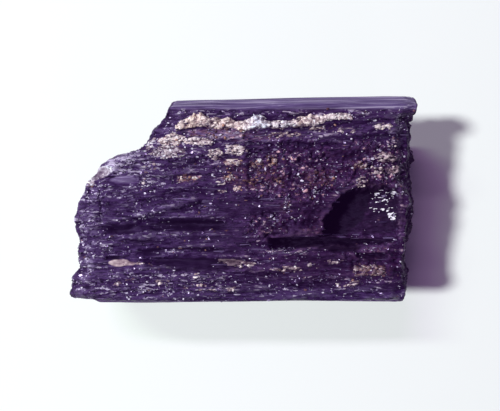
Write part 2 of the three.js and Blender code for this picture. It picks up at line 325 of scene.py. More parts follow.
# each patch: its values in the order of Patch's fields, the last ones left out where they are usual
PATCHES = tuple(Patch(mark, *row) for mark, rows in (
    (Mark.FELDSPAR, (
        (-12.4, 10, 2.4, 1.1, 1, 0.25, 1), (-8.2, 9.7, 3, 0.7, 1, 0.2, 0.95),
        (-13, 8, 3.2, 1.1, 1.1, 0.15, 0.6, -0.5), (-16.3, 9, 1.7, 0.55, 0.95, 0.2, 0.7, -0.6, 62),
        (-24.9, 4.4, 2.5, 1.1, 1.6, 0.15, 0.8, -1, 20, 0.3), (-27, 3, 0.6, 1.2, 1.5, 0.1, 0.95, -0.6, 50),
        (-22, 7.6, 2.2, 0.7, 0.5, 0.1, 0.5, -0.8, 25), (-4.9, 7.6, 1.5, 0.9, 0.9, 0.35, 0.85),
        (-1.5, 8.3, 1.8, 0.9, 0.9, 0.35, 0.85), (-2, 6.2, 1.5, 0.7, 0.8, 0.3, 0.8),
        (2.2, 6, 1.2, 0.6, 0.7, 0.25), (24.2, 12.4, 1.7, 0.6, 0.8, 0.35),
        (17.3, 11.7, 2.8, 0.35, 0.55, 0.1, 0.45), (7, 11, 3.5, 0.6, 0.65, 0.1, 0.5),
        (13.2, 12, 2.4, 0.4, 0.65, 0.1), (24.6, 7, 2.3, 0.9, 0.9, 0.9, 0.4, 0.1, -8),
        (20.6, 5.7, 1.4, 0.8, 0.7, 0.6, 0.4), (23.4, 4.9, 1.2, 0.7, 0.8, 0.7, 0.2),
        (26, 4.9, 1.3, 0.7, 0.9, 0.7, 0.2, 0.1, 12), (20.6, 2.9, 1.3, 1, 0.8, 0.7, 0.45, 0.1, 30),
        (25.4, 9.4, 1.3, 1, 0.5, 0.4, 0.3), (-21.9, -11.35, 2, 0.72, 1.6, 0.3, 0.62, 0.25, 0, 0.2),
        (-20.4, -11.5, 1.7, 0.38, 1.6, 0.15, 0.45, 0.25, -4, 0.3),
        (-17.6, -11.7, 2, 0.3, 0.7, 0.1, 0.35, 0.1, -8), (-1.4, -11.5, 3.2, 0.6, 1.1, 0.2, 0.75, 0.1, -6),
        (16, -11.2, 2, 0.4, 0.75, 0.15, 0.55), (8, -12.5, 2.8, 0.6, 0.75, 0.2, 0.35),
        (22.2, -12.8, 3.5, 1.1, 0.68, 0.3, 0.02), (18.4, -15.3, 2.3, 0.6, 0.7, 0.2, 0.45, 0.1, 8),
        (-14.3, -14.8, 1.6, 0.4, 0.8, 0.15, 0.7), (-22.4, -15.3, 1, 0.45, 0.7, 0.15, 0.5),
        (-20.3, -14.4, 1.2, 0.35, 0.6, 0.1, 0.5), (-8.1, -13.7, 0.8, 0.5, 0.8, 0.2, 0.8),
        (-6.3, -15.8, 5.5, 0.8, 0.45, 0.1, 0.4), (12, -12, 1.6, 0.6, 0.4, 0.1, 0.3),
        (-16.5, 5.6, 1.6, 1, 0.45, 0.1, 0.5), (-16.6, 2.9, 1.2, 0.6, 0.6, 0.2, 0.8),
        (-10.9, 3.3, 1.1, 0.6, 0.7, 0.2), (-8.8, 3.5, 0.8, 0.5, 0.7, 0.2),
        (-3.9, 2.6, 1, 0.5, 0.7, 0.2, 0.8), (-3.9, 1.1, 1.3, 0.3, 0.6, 0.1, 0.7),
        (-2.6, 3.6, 0.8, 0.7, 0.7, 0.25), (-1.1, 1.8, 0.8, 0.7, 0.7, 0.25),
        (4.9, 6.5, 0.9, 1, 0.7, 0.3, 0.35),
    )),
    (Mark.SMOOTH, (
        (-21.6, -11.4, 2.6, 1, 1, 0, 0.6, 0.1, 0, 0.1), (-24.9, 4.4, 2.4, 1.2, 0.8),
        (-20.8, 3.1, 2.9, 0.95, 1, 0, 0.6, 0.1, 0, 0.15), (-7.6, -11.2, 9.5, 1, 0.9),
        (-21.3, -5.4, 3.3, 1, 0.75), (-9.6, -4.6, 6.5, 1.2, 0.6), (-16.6, -9.5, 2.3, 0.9, 0.8),
        (-4, 11.2, 6, 0.6, 0.6), (-23, -14.5, 6, 1.2, 0.3),
    )),
    # dark patches: painted shade in the pocket under its cliff, in the slot and in some hollows, and darker
    # stone elsewhere
    (Mark.DARK, (
        (-22.4, -10.5, 2.4, 0.3, 0.8, 0, 0.6, 0.1, 8, 0.2), (25.2, -2.2, 3, 4.6, 0.75),
        (9.6, -7.8, 6, 1.15, 1, 0, 0.6, 0.1, 0, 0.15), (19, -7.6, 7.6, 0.55, 0.95, 0, 0.6, 0.1, 0, 0.3),
        (19.4, -2.2, 7, 2.9, 1, 0, 0.6, 0.1, 54, 0.35), (22.6, -4.6, 5, 2.2, 0.6),
        (23.5, 1.4, 2, 1.3, 0.85), (21.2, -0.6, 4.2, 1.5, 0.85, 0, 0.6, 0.1, 54),
        (-20.8, -5.4, 4.2, 1.1, 0.45), (-9.6, -4.8, 7.5, 1.4, 0.6), (-16.4, -9.6, 2.4, 0.9, 0.5),
        (-8, -11.7, 9, 1.35, 0.65), (0, -15.9, 4.2, 0.9, 0.45), (-4, -9.3, 4.5, 0.8, 0.45),
        (12, -10.7, 1.9, 0.9, 0.45), (25.2, -15.9, 2.6, 0.8, 0.35), (16, -11.2, 6.5, 1.6, 0.38),
        (13, -15.3, 4.5, 0.8, 0.35), (-9.5, -8.6, 4.2, 0.6, 0.45),
        (17.2, -8.6, 4.2, 1.1, 0.95, 0, 0.6, 0.1, 0, 0.3), (7.5, -5.8, 5.5, 1.2, 0.45),
        (-17.8, -7.3, 3.2, 1, 0.45), (-4, -6.2, 6.5, 2.4, 0.3), (13.6, -4.2, 3.6, 3.4, 0.4),
        (9, -13.8, 12, 1.6, 0.25), (18, 0.8, 1.8, 1.2, 0.4), (22.8, -10.5, 3.2, 1, 0.6),
        (19, 8.5, 4, 2, 0.25), (2, -1.6, 9, 1.6, 0.35),
    )),
    (Mark.SPECK, (
        (-14, -15, 16, 2.3), (12, -15.2, 16, 2, 0.42), (-27.5, -4, 3.5, 10, 0.6),
        (-16, 6, 7, 4.5, 0.8, 0, 0.6, 0.1, 20), (-21, 1, 5, 1, 0.8), (-5, 7.5, 9, 4, 0.6),
        (8, 3.5, 9, 5, 0.45), (24, 5, 5, 7, 0.7), (25.8, -2, 2, 3.5), (19, -9, 6, 0.9, 0.9),
        (8, -9.5, 4.6, 0.4), (-12.4, -9.4, 2, 0.4), (-17.5, -3, 2.5, 0.6, 0.8), (6, 14.6, 22, 0.8, 0.5),
        (5, -4.5, 5, 2, 0.5), (-15.8, 2.8, 2.8, 1),
    )),
    (Mark.RUST, (
        (-4, 11.2, 6, 0.9, 0.8), (-2, 6, 1.8, 0.9, 0.5), (2.2, 6, 1.4, 0.8, 0.7), (4.9, 6.5, 1.1, 1.4, 0.9),
        (-2.5, 3.4, 1.2, 1, 0.9), (-1, 1.9, 1.1, 0.9, 0.7), (-9.6, 3.4, 2.4, 0.8, 0.8),
        (2, 3.5, 5.5, 2.2, 0.55), (13.1, 3.5, 3, 1.8, 0.6), (20.4, 5.6, 1.6, 1, 0.5),
        (7.4, -1.8, 1.2, 1.2, 0.5), (22.6, -12.8, 3.7, 1.3, 0.45), (-12.5, 9.8, 3, 1.2, 0.35),
        (2, 10.4, 5, 0.8, 0.4),
    )),
    # mica patches: mica, and painted glints, such as the bright facets in the pocket
    (Mark.MICA, (
        (-25.4, 5.2, 0.9, 0.4, 0.7), (-28.6, -5.2, 0.5, 1, 0.8), (-19.5, 6, 2.5, 1.2, 0.35),
        (-23.8, -8.9, 0.8, 0.5, 0.9, 0.1, 0.6, 0.1, -35), (-23, 2.1, 2, 0.35, 0.6),
        (-17.2, 2.2, 1.2, 0.6, 0.65), (27.2, 15.2, 0.7, 0.3, 0.7), (27.1, 12.9, 0.9, 1.1, 0.6),
        (25.3, 0.6, 2.4, 1.1, 0.72), (26.4, -2.7, 0.8, 1.7, 0.85), (7.6, -1, 0.7, 1.7, 0.6),
        (24.2, -1.3, 1.9, 1.3, 0.62), (12.8, 1.1, 0.9, 0.4, 0.8), (7.2, -9.5, 4, 0.35, 0.6),
        (-9.6, -2, 1.2, 1, 0.4, 0.3), (-17.6, -3.2, 0.7, 0.5, 0.7),
    )),
    # pale patches: paler ground; the long band along the near edge, at y -17.5, is a painted highlight
    (Mark.PALE, (
        (-4.2, 11.1, 6.6, 1, 1.8), (3.6, 10.7, 3.8, 1.4), (-12.5, 11.4, 3, 1, 0.8),
        (-11.5, 6.8, 3, 0.9, 0.65), (-16, 2.8, 2.4, 0.9, 0.6), (16, 10.8, 6.5, 1.4, 0.4),
        (-7.5, 14.4, 6.5, 1, 0.75), (8, 14.8, 22, 0.7, 0.6), (26.2, 13, 2.2, 2.4, 0.5),
        (-21.2, 7, 3.6, 1.4, 1.5, 0, 0.6, 0.1, 25), (-20.6, 5.4, 2.8, 0.9, 0.9, 0, 0.6, 0.1, 15),
        (-22.8, -4, 2.6, 0.3, 0.35, 0, 0.6, 0.1, 8), (12, 11.7, 5.5, 0.8, 0.5), (0, -17.5, 30, 0.5, 0.35),
        (-24, -13.2, 4, 1.7, 0.5), (-26.6, -7.5, 3, 3.4, 0.5),
        (-20.7, 3.15, 2.7, 0.72, 1.3, 0, 0.6, 0.1, 0, 0.08, 0.35), (-27.6, -1.5, 3.4, 6, 0.5),
        (-28.6, -11, 2.6, 5.5, 0.5), (-17.5, 6.5, 6.5, 2.6, 0.8, 0, 0.6, 0.1, 25),
        (-24.4, 4.9, 2.8, 1.5, 0.8), (-13.2, 8, 3.4, 1.4, 0.6), (-18, -3, 5.5, 0.5, 0.25, 0, 0.6, 0.1, 8),
        (-11, -0.9, 3, 0.7, 0.25, 0, 0.6, 0.1, 12), (-17.5, -13.5, 9, 0.8, 0.15), (-8, 8.6, 9, 2, 0.2),
        (25, 5.5, 3, 2.2, 0.15), (7.5, -9.5, 4.2, 0.35, 0.25),
    )),
    (Mark.CRUMBLE, (
        (22.5, -1.6, 5, 3.6, 0.35), (9, 4.5, 9, 6), (4.4, -4.8, 4.5, 2.4), (22.5, 6, 6, 5),
        (12, -4.5, 3.5, 2.5, 0.7), (23, -11, 6, 2.6, 0.8),
    )),
) for row in rows)


@dataclass(frozen=True)
class Relief:
    """The split face's relief and what its ground is made of, as functions of x and y."""

    face: Line = (
        (-18.4, 16.3), (-17.2, 17.0), (-13.0, 17.4), (-9.2, 17.5), (-6.5, 18.0), (2.0, 18.7),
        (9.0, 19.0), (13.9, 19.35), (15.4, 20.1), (18.1, 20.3),
    )
    seam_far: Line = (
        (-12.1, 12.2), (-10.8, 13.4), (-9.3, 14.2), (-7.4, 14.9), (-5.9, 13.9), (-2.4, 13.9), (-1.2, 13.4),
        (0.6, 13.7), (1.9, 14.5), (3.2, 14.5), (4.0, 13.4), (7.5, 13.6), (9.0, 13.9), (9.8, 14.4),
        (13.6, 14.3), (14.8, 14.7), (17.5, 14.7), (18.7, 14.4),
    )
    seam_near: Line = (
        (-11.8, 11.5), (-9.6, 12.0), (-7.6, 12.3), (-5.5, 12.3), (-4.2, 11.9), (-1.9, 12.1), (-0.1, 11.5),
        (1.7, 11.8), (4.1, 12.0), (5.4, 11.8), (7.5, 12.1), (10.0, 12.3), (12.1, 12.3), (13.4, 12.7),
        (14.2, 13.3), (16.2, 13.5), (18.7, 13.3),
    )
    seam_hue: Line = (
        (-11.5, 0.4), (-9.0, 0.8), (-6.0, 0.4), (-3.0, 0.6), (-0.5, 0.4), (0.8, 0.0), (1.8, -0.9),
        (3.6, -0.9), (5.0, -0.2), (7.6, -0.5), (9.4, 0.6), (12.0, 0.2), (14.5, 0.0), (18.6, 0.15),
    )
    slot_x: Pair = (4.3, 26.0)
    slot_far: Line = ((4.3, -7.0), (9.0, -6.9), (14.0, -6.6), (18.0, -7.0), (26.0, -7.6))
    slot_near: Line = ((4.3, -9.2), (9.2, -9.2), (10.3, -8.7), (13.0, -8.3), (26.0, -8.3))
    slot_floor: float = 14.6
    pocket_left: Line = (  # from y to x
        (-7.8, 12.6), (-6.4, 13.3), (-3.0, 14.4), (-1.2, 16.0), (1.0, 18.0), (2.2, 19.8),
    )
    pocket_right: float = 27.7
    pocket_far: float = 2.0
    pocket_floor: float = 12.7
    pocket_rise: float = math.tan(math.radians(15.0))
    ridge_level: Pair = (14.2, 15.0)  # the y over which the far ridge sets in and keeps level
    ridge_plain: Pair = (14.7, 15.2)  # and over which its roughness fades
    least: float = 0.02  # a thinner cover doesn't tint its ground

    def ground(self, y: Array) -> Array:
        """The smooth height of the split face before its detail: the profile across it."""
        return traced(self.face, y)

    def fall(self, x: Array, y: Array, left: Array, right: Array) -> Array:
        """How far the face falls towards the two breaks; the ridge along the far edge keeps level.

        Args:
            x, y: places in millimetres.
            left, right: the breaks' x at each place's y.

        Returns:
            The fall at each place, in millimetres.
        """
        to_left = 1.1 * (1.0 - ease(x - left, 0.0, 3.2))
        to_right = (0.6 + 1.0 * ease(y, -2.0, 4.0)) * (1.0 - ease(right - x, 0.0, 2.8))
        ridge = ease(y, *self.ridge_level)
        return to_left * (1.0 - 0.85 * ridge) + to_right * (1.0 - 0.6 * ridge)

    def warp(self, flat: Array) -> Array:
        """The broad bend of the patches' edges, about -0.6 to 0.6."""
        return 0.6 * Noise(11).at(flat, (1.6, 0.8, 1.0))

    def seam(self, x: Array, y: Array, warp: Array) -> Array:
        """How much of the feldspar seam lies at each place: 1 between its far and its near edge.

        Args:
            x, y: places in millimetres.
            warp: about -1 to 1, bends the edges.

        Returns:
            0 to 1 at each place.
        """
        far = traced(self.seam_far, x) + 0.30 * warp - 0.22
        near = traced(self.seam_near, x) - 0.18 * warp
        ends = ease(x, -12.0, -11.4) * ease(x, 18.9, 18.3)
        return ease(y - near, -0.1, 0.14) * ease(far - y, -0.1, 0.2) * ends

    def covers(self, points: Array) -> dict[Mark, Array]:
        """How much of each kind of ground lies at each place.

        Args:
            points: places, (n, 3), in millimetres.

        Returns:
            0 to 1 at each place, by kind of ground.
        """
        x, y = points[:, 0], points[:, 1]
        flat = np.column_stack((x, y, np.zeros_like(x)))
        warp = self.warp(flat) + 0.5 * Noise(12).at(flat, (0.6, 0.28, 1.0))
        streaks = Noise(13).at(flat, (1.5, 0.24, 1.0)) + 0.6 * Noise(14).at(flat, (0.5, 0.3, 1.0))
        found = {mark: np.zeros(len(x)) for mark in Mark}
        found[Mark.BLOOM] += 0.6
        most = np.full(len(x), self.least)
        for patch in PATCHES:
            cover = patch.cover(x, y, warp)
            if patch.mark in (Mark.FELDSPAR, Mark.MICA):
                gaps = 0.9 - 1.25 * patch.strength
                cover = cover * ease(streaks, gaps - 0.18, gaps + 0.18)
            else:
                cover = cover * patch.strength
            if patch.mark is Mark.FELDSPAR:
                won = cover > most
                found[Mark.BLOOM] = np.where(won, patch.bloom, found[Mark.BLOOM])
                found[Mark.WARM] = np.where(won, patch.warm, found[Mark.WARM])
                most = np.maximum(most, cover)
            found[patch.mark] = np.maximum(found[patch.mark], cover)
        seam = self.seam(x, y, warp)
        found[Mark.FELDSPAR] = np.maximum(found[Mark.FELDSPAR], seam)
        found[Mark.BLOOM] = np.where(seam > self.least, 1.0, found[Mark.BLOOM])
        hue = traced(self.seam_hue, x) + 0.3 * warp
        found[Mark.WARM] = np.where(seam > self.least, hue, found[Mark.WARM])
        found[Mark.CRUMBLE] = found[Mark.CRUMBLE] * (1.0 - found[Mark.SMOOTH])
        return found

    def height(self, points: Array, left: Array, right: Array) -> Array:
        """The split face's height over each place between the breaks.

        The profile across the face, less a fall towards each break, plus every fold and ledge, the
        lift of the feldspar, fibres drawn out along the grain and lumps where the ground crumbles;
        then the slot and the pocket are sunk into it.

        Args:
            points: places, (n, 3), in millimetres; their z is not used.
            left, right: the breaks' x at each place's y.

        Returns:
            The height at each place.
        """
        x, y = points[:, 0], points[:, 1]
        flat = np.column_stack((x, y, np.zeros_like(x)))
        bend = 0.25 * Noise(21).at(flat, (5.0, 2.0, 1.0)) + 0.12 * Noise(22).at(flat, (1.5, 0.8, 1.0))
        covers = self.covers(points)
        z = self.ground(y) - self.fall(x, y, left, right)
        z = z + 0.16 * (np.sin(1.1 * y + 0.23 * x) + np.sin(2.3 * y - 0.31 * x))
        for fold in FOLDS:
            z = z + fold.rise(x, y + bend)
        for ledge in LEDGES:
            z = z + ledge.rise(x, y + bend)
        side = 0.4 + 2.4 * bend + 0.8 * Noise(23).at(flat, (2.0, 1.2, 1.0))
        z = z - 0.4 * ease(x - side, -0.2, 0.5) * ease(y, 1.0, 4.0) * (1.0 - ease(y, 10.5, 12.0))
        rough = (1.0 - 0.92 * covers[Mark.SMOOTH]) * (1.0 - 0.9 * ease(y, *self.ridge_plain))
        crumble = covers[Mark.CRUMBLE]
        fibres = (
            0.20 * Noise(31).ridges(flat, (7.0, 0.95, 1.0))
            + 0.14 * Noise(32).ridges(flat, (3.0, 0.42, 1.0))
            + 0.09 * Noise(33).at(flat, (1.2, 0.28, 1.0))
            + 0.30 * Noise(34).at(flat, (6.0, 3.0, 1.0))
        )
        near, number = Grains(41).at(x + 0.3 * bend, y + bend, 1.15, 0.85)
        small, small_number = Grains(42).at(x, y, 0.6, 0.45)
        lumps = 0.5 * (number - 0.5) + 0.35 * (0.5 - near) + 0.25 * (small_number - 0.5) - 0.2 * small
        z = z + rough * (fibres * (1.0 - 0.55 * crumble) + 1.1 * lumps * crumble)
        z = z + self.feldspar_lift(x, y, flat, covers)
        return self.sunk(flat, z, bend)

    def feldspar_lift(self, x: Array, y: Array, flat: Array, covers: dict[Mark, Array]) -> Array:
        """How far the feldspar and mica stand out: their patches' lift, knobbly with rounded grains.

        Args:
            x, y: places in millimetres.
            flat: the same places, (n, 3), with z nought.
            covers: how much of each kind of ground lies there.

        Returns:
            The rise at each place, in millimetres.
        """
        warp = self.warp(flat)
        lift = np.zeros(len(x))
        for patch in (patch for patch in PATCHES if patch.lift):
            lift = np.maximum(lift, patch.lift * patch.cover(x, y, warp))
        seam = self.seam(x, y, warp)
        near, number = Grains(43).at(x + 0.35 * warp, y + 0.25 * warp, 1.5, 0.95)
        small, own = Grains(44).at(x, y + 0.2 * warp, 0.62, 0.5)
        knobs = 0.62 + 0.7 * (number - 0.5) - 0.30 * near**2 + 0.45 * (own - 0.5) - 0.22 * small**2
        knobs = knobs + (0.7 - knobs) * 0.8 * covers[Mark.SMOOTH]
        return np.maximum(lift * (0.6 + 0.6 * knobs), seam * knobs) * covers[Mark.FELDSPAR]

    def sunk(self, flat: Array, z: Array, bend: Array) -> Array:
        """The height after the slot and the pocket beside it are sunk: each has a floor, and an eased
        wall from the face down to that floor.

        Args:
            flat: places, (n, 3), with z nought.
            z: the height there before.
            bend: bends the walls a little.

        Returns:
            The height after, never above the height before.
        """
        x, y = flat[:, 0], flat[:, 1]
        rough = 0.22 * Noise(51).ridges(flat, (3.0, 0.5, 1.0)) + 0.25 * Noise(52).at(flat, (1.4, 1.1, 1.0))
        ragged = 1.5 * bend + 0.75 * Noise(53).at(flat, (2.2, 1.7, 1.0)) + 0.4 * Noise(54).at(flat, 0.7)
        cliff = traced(self.pocket_left, y) + ragged
        far = traced(self.slot_far, x) + 0.12 * bend
        near = traced(self.slot_near, x) + 0.35 * ragged * ease(x, 8.0, 11.0)
        floor = self.pocket_floor + self.pocket_rise * (x - self.pocket_left[0][1]) + rough
        wall = ease(x - cliff, -0.15, 0.8) * ease(y - far, -0.5, 0.3)
        wall = wall * ease(self.pocket_right - x + bend, 0.0, 0.9)
        wall = wall * ease(self.pocket_far + 0.8 * ragged - y, -0.3, 1.3)
        z = np.minimum(z, z + (floor - z) * wall)
        start, end = self.slot_x
        inside = ease(x + 0.4 * ragged, start, start + 1.1) * ease(end - x, 0.0, 3.0)
        inside = inside * ease(y - near, 0.0, 0.3) * ease(far - y, 0.0, 0.22)
        slot_floor = self.slot_floor + 0.6 * rough + 1.9 * ease(x, 9.0, 4.0)
        return np.minimum(z, z + (slot_floor - z) * inside)


# --- the crystal ----------------------------------------------------------------------------


class Shell(NamedTuple):
    """A mesh as arrays: corner places in millimetres, four-sided faces, and values at corners."""

    points: Array
    quads: Array
    marks: dict[str, Array]


def quads_of(grid: Array) -> Array:
    """Four corner numbers for each face between neighbours in a grid of corner numbers."""
    corners = (grid[:-1, :-1], grid[1:, :-1], grid[1:, 1:], grid[:-1, 1:])
    return np.stack(corners, -1).reshape(-1, 4)


def closed(grid: Array) -> Array:
    """A grid of corner numbers whose first column comes again at the end, so that it goes round."""
    return np.hstack((grid, grid[:, :1]))


def crosses_of(points: Array, quads: Array) -> Array:
    """The cross product of each face's diagonals: along its normal, and as long as twice its area."""
    a, b, c, d = (points[quads[:, k]] for k in range(4))
    return np.cross(c - a, d - b)


def normals_of(points: Array, quads: Array) -> Array:
    """A unit normal at each corner: the sum of the cross products of the faces that meet there, made
    one long.

    Args:
        points: corners, (n, 3).
        quads: four corner numbers for each face.

    Returns:
        An (n, 3) array.
    """
    face = crosses_of(points, quads)
    total = np.zeros_like(points)
    for k in range(4):
        np.add.at(total, quads[:, k], face)
    return total / np.maximum(np.linalg.norm(total, axis=1, keepdims=True), 1e-12)


def softened(grid: Array, cells: int, rounds: int = 3) -> Array:
    """A height grid blurred by a box some cells wide, run along both axes a few times.

    Args:
        grid: heights as a two-dimensional array.
        cells: half the box's width.
        rounds: how many times it is run.

    Returns:
        A grid of the same shape.
    """
    width = 2 * cells + 1
    for _ in range(rounds):
        for axis in (0, 1):
            pad = [(cells + 1, cells) if k == axis else (0, 0) for k in (0, 1)]
            sums = np.cumsum(np.pad(grid, pad, mode="edge"), axis=axis)
            high = np.take(sums, range(width, sums.shape[axis]), axis=axis)
            low = np.take(sums, range(sums.shape[axis] - width), axis=axis)
            grid = (high - low) / width
    return grid


@dataclass(frozen=True)
class Crystal:
    """The schorl prism's half: its outline, its walls' sections and the grid that it is drawn on."""

    along: int = 282
    across: int = 166
    rim_levels: int = 18
    wall_levels: int = 36
    rim_share: float = 0.84  # the walls' share of the height where the rim's finer rings end
    near_reach: float = 29.5
    far_reach: float = 28.4
    break_start: Pair = (0.965, 0.995)  # the u over which a wall turns into a break
    ridge_inset: Pair = (13.6, 14.8)  # the y over which the right break's inset lessens
    ridge_hackle: Pair = (14.6, 15.6)  # and over which the breaks' hackle lessens
    ridge_strip: Pair = (15.0, 15.4)  # and over which the smooth far strip sets in
    # the near edge's lip is lightened as a painted highlight
    near_lip: Pair = (-17.6, -18.1)  # the y over which the near edge's pale lip sets in
    left_break: Line = (
        (-18.8, -31.7), (-16.8, -31.75), (-14.6, -30.8), (-12.5, -30.0), (-8.2, -29.7), (-3.9, -30.2),
        (-0.7, -29.3),
        (2.2, -27.6), (5.9, -25.3), (7.3, -22.7), (8.3, -19.7), (9.0, -18.0), (12.9, -14.9),
        (15.2, -13.3), (18.1, -12.1),
    )
    right_break: Line = (
        (-18.4, 30.2), (-16.2, 30.6), (-12.0, 29.8), (-7.0, 30.1), (1.6, 30.8), (12.4, 30.5), (14.4, 30.1),
        (15.8, 30.65), (17.3, 30.65), (17.9, 30.25),
    )
    near_edge: Line = ((-31.0, -18.2), (-25.6, -18.3), (-24.6, -18.75), (31.0, -18.8))
    far_edge: Pair = (17.38, 0.0144)
    far_wall: Line = ((0.0, 7.4), (0.42, 0.9), (0.89, 0.0), (1.0, 1.75))
    near_wall: Line = ((0.0, 8.6), (0.34, 1.6), (0.88, 0.0), (1.0, 0.6))
    left_wall: Line = ((0.0, 2.4), (0.3, 1.2), (0.8, 0.0), (1.0, 0.5))
    right_wall: Line = ((0.0, 1.4), (0.35, 0.5), (0.78, 0.0), (1.0, 1.9))
    relief: Relief = field(default_factory=Relief)

    @property
    def face(self) -> int:
        """How many corners the split face has; they come first."""
        return (self.along + 1) * (self.across + 1)

    @property
    def rim(self) -> int:
        """How many corners each ring of the walls has; the rest face's ring comes last."""
        return 2 * (self.along + self.across)

    def outline(self, u: Array, v: Array, share: Array) -> tuple[Array, Array, Array, Array]:
        """The drawing's plan: y runs between the near and the far wall and x between the breaks, each
        set in by its wall's inset at that share of the height.

        Args:
            u, v: -1 to 1 along and across the crystal.
            share: 0 on the rest face to 1 on the split face.

        Returns:
            x, y and the x of the left and the right break at that y.
        """
        near = traced(self.near_edge, self.near_reach * u) + traced(self.near_wall, share)
        far = self.far_edge[0] + self.far_edge[1] * u * self.far_reach - traced(self.far_wall, share)
        y = near + (far - near) * (v + 1.0) / 2.0
        left = traced(self.left_break, y) + traced(self.left_wall, share)
        inset = traced(self.right_wall, share) * (1.0 - 0.6 * ease(y, *self.ridge_inset))
        right = traced(self.right_break, y) - inset
        x = left + (right - left) * (u + 1.0) / 2.0
        bow = 0.45 * np.sin(5.1 * share + 2.9 * v) * np.sin(3.3 * v + 1.0) * (1.0 - share) * share * u
        return x + bow, y, left, right

    def grid(self) -> tuple[Array, Array, Array, Array]:
        """The unit coordinates of every corner, and the four-sided faces between them.

        The split face is a grid of corners. Rings of corners hang from its rim, closer together near
        the top, down to the rest face.

        Returns:
            u, v and share for each corner, and the quads.
        """
        n, m = self.along + 1, self.across + 1
        top = np.arange(n * m).reshape(n, m)
        u, v = np.meshgrid(np.linspace(-1, 1, n), np.linspace(-1, 1, m), indexing="ij")
        rim = np.concatenate((top[:-1, 0], top[-1, :-1], top[:0:-1, -1], top[0, :0:-1]))
        shares = np.concatenate((
            np.linspace(1.0, self.rim_share, self.rim_levels + 1)[1:],
            np.linspace(self.rim_share, 0.0, self.wall_levels + 1)[1:],
        ))
        rings = n * m + np.arange(len(shares) * len(rim)).reshape(len(shares), len(rim))
        u = np.concatenate((u.ravel(), np.tile(u.ravel()[rim], len(shares))))
        v = np.concatenate((v.ravel(), np.tile(v.ravel()[rim], len(shares))))
        share = np.concatenate((np.ones(n * m), np.repeat(shares, len(rim))))
        wall = quads_of(closed(np.vstack((rim, rings))))
        return u, v, share, np.concatenate((quads_of(top), wall))

    def wall_relief(self, points: Array, broken: Array, share: Array) -> Array:
        """How far the walls' detail pushes out along the normal: long fine ridges on the prism faces,
        and lumps, steps and the fibres' ends on the two breaks.

        Args:
            points: places, (n, 3), in millimetres.
            broken: 0 on the prism faces to 1 on the two breaks.
            share: 0 on the rest face to 1 on the split face.

        Returns:
            A distance for each place, in millimetres.
        """
        stripes = (
            0.14 * Noise(61).ridges(points, (70.0, 1.5, 1.5))
            + 0.10 * Noise(62).ridges(points, (50.0, 0.7, 0.7))
            + 0.30 * Noise(63).at(points, (30.0, 5.0, 5.0))
        )
        hackle = (
            0.50 * Noise(64).at(points, 3.2)
            + 0.26 * Noise(65).ridges(points, (1.6, 2.2, 0.8))
            + 0.16 * Noise(66).at(points, 0.7)
            + 0.4 * np.round(2.2 * Noise(67).at(points, (4.0, 3.0, 5.0))) / 2.2
        )
        deep = 1.2 * Noise(68).at(points, (6.0, 4.5, 3.5)) + 0.5 * Noise(69).ridges(points, (3.0, 2.6, 1.5))
        hackle = hackle + deep * ease(share, 0.97, 0.7)
        hackle = hackle * (1.0 - 0.85 * ease(points[:, 1], *self.ridge_hackle) * ease(share, 0.75, 0.9))
        return stripes * (1.0 - broken) + hackle * broken

    def shell(self) -> Shell:
        """The whole crystal as arrays.

        The outline gives x and y. The split face takes the relief's height; the walls' corners take
        their share of the smooth height, which has only the profile and the fall to the breaks, and
        are pushed along the normal by the walls' detail, which fades out at the rest face.

        Returns:
            Corners, faces and the values that the finish reads.
        """
        u, v, share, quads = self.grid()
        x, y, left, right = self.outline(u, v, 0.03 + 0.97 * share)
        smooth = self.relief.ground(y) - self.relief.fall(x, y, left, right)
        points = np.column_stack((x, y, smooth * share))
        base = points.copy()
        fine = self.relief.height(points, left, right) - smooth
        points[:, 2] += fine * ease(share, self.rim_share, 1.0) ** 2
        normals = normals_of(points, quads)
        broken = ease(np.abs(u), *self.break_start)
        push = self.wall_relief(base, broken, share) * ease(points[:, 2], 0.0, 1.5)
        rim_near = np.minimum.reduce((u + 1.0, 1.0 - u, v + 1.0, 1.0 - v))
        push = push * np.where(share == 1.0, ease(rim_near, 0.03, 0.0), 1.0)
        points = points + normals * [1.0, 1.0, 0.3] * push[:, None]
        points[:, 2] = np.maximum(points[:, 2], 0.0)
        points[-self.rim:, 2] = 0.0
        return Shell(points, quads, self.marks(points, np.column_stack((u, x, y)), share, broken))

    def marks(self, points: Array, plan: Array, share: Array, broken: Array) -> dict[str, Array]:
        """The values that the finish reads: how much of each kind of ground lies at each corner, where the
        walls, the far strip and the prism faces are, and how far each corner stands above its neighbours,
        for painted light on crests and painted shade in hollows.

        Args:
            points: the finished corners, (n, 3), in millimetres.
            plan: u, and x and y before the walls' detail, (n, 3).
            share: 0 on the rest face to 1 on the split face.
            broken: 0 on the prism faces to 1 on the two breaks.

        Returns:
            A value for each corner, by name.
        """
        u, x, y = plan.T
        on_top = ease(share, 0.86, 1.0)
        marks = {mark.value: cover * on_top for mark, cover in self.relief.covers(points).items()}
        # painted highlight: a pale line along the top of the near edge
        lip = ease(y, *self.near_lip) * ease(share, 0.80, 0.88) * ease(share, 1.0, 0.985)
        marks["pale"] = np.maximum(marks["pale"], 0.9 * lip)
        marks["east"] = ease(x, -20.0, 16.0) * ease(y, -17.5, -13.0) * (1.0 - 0.7 * ease(y, 7.0, 11.0))
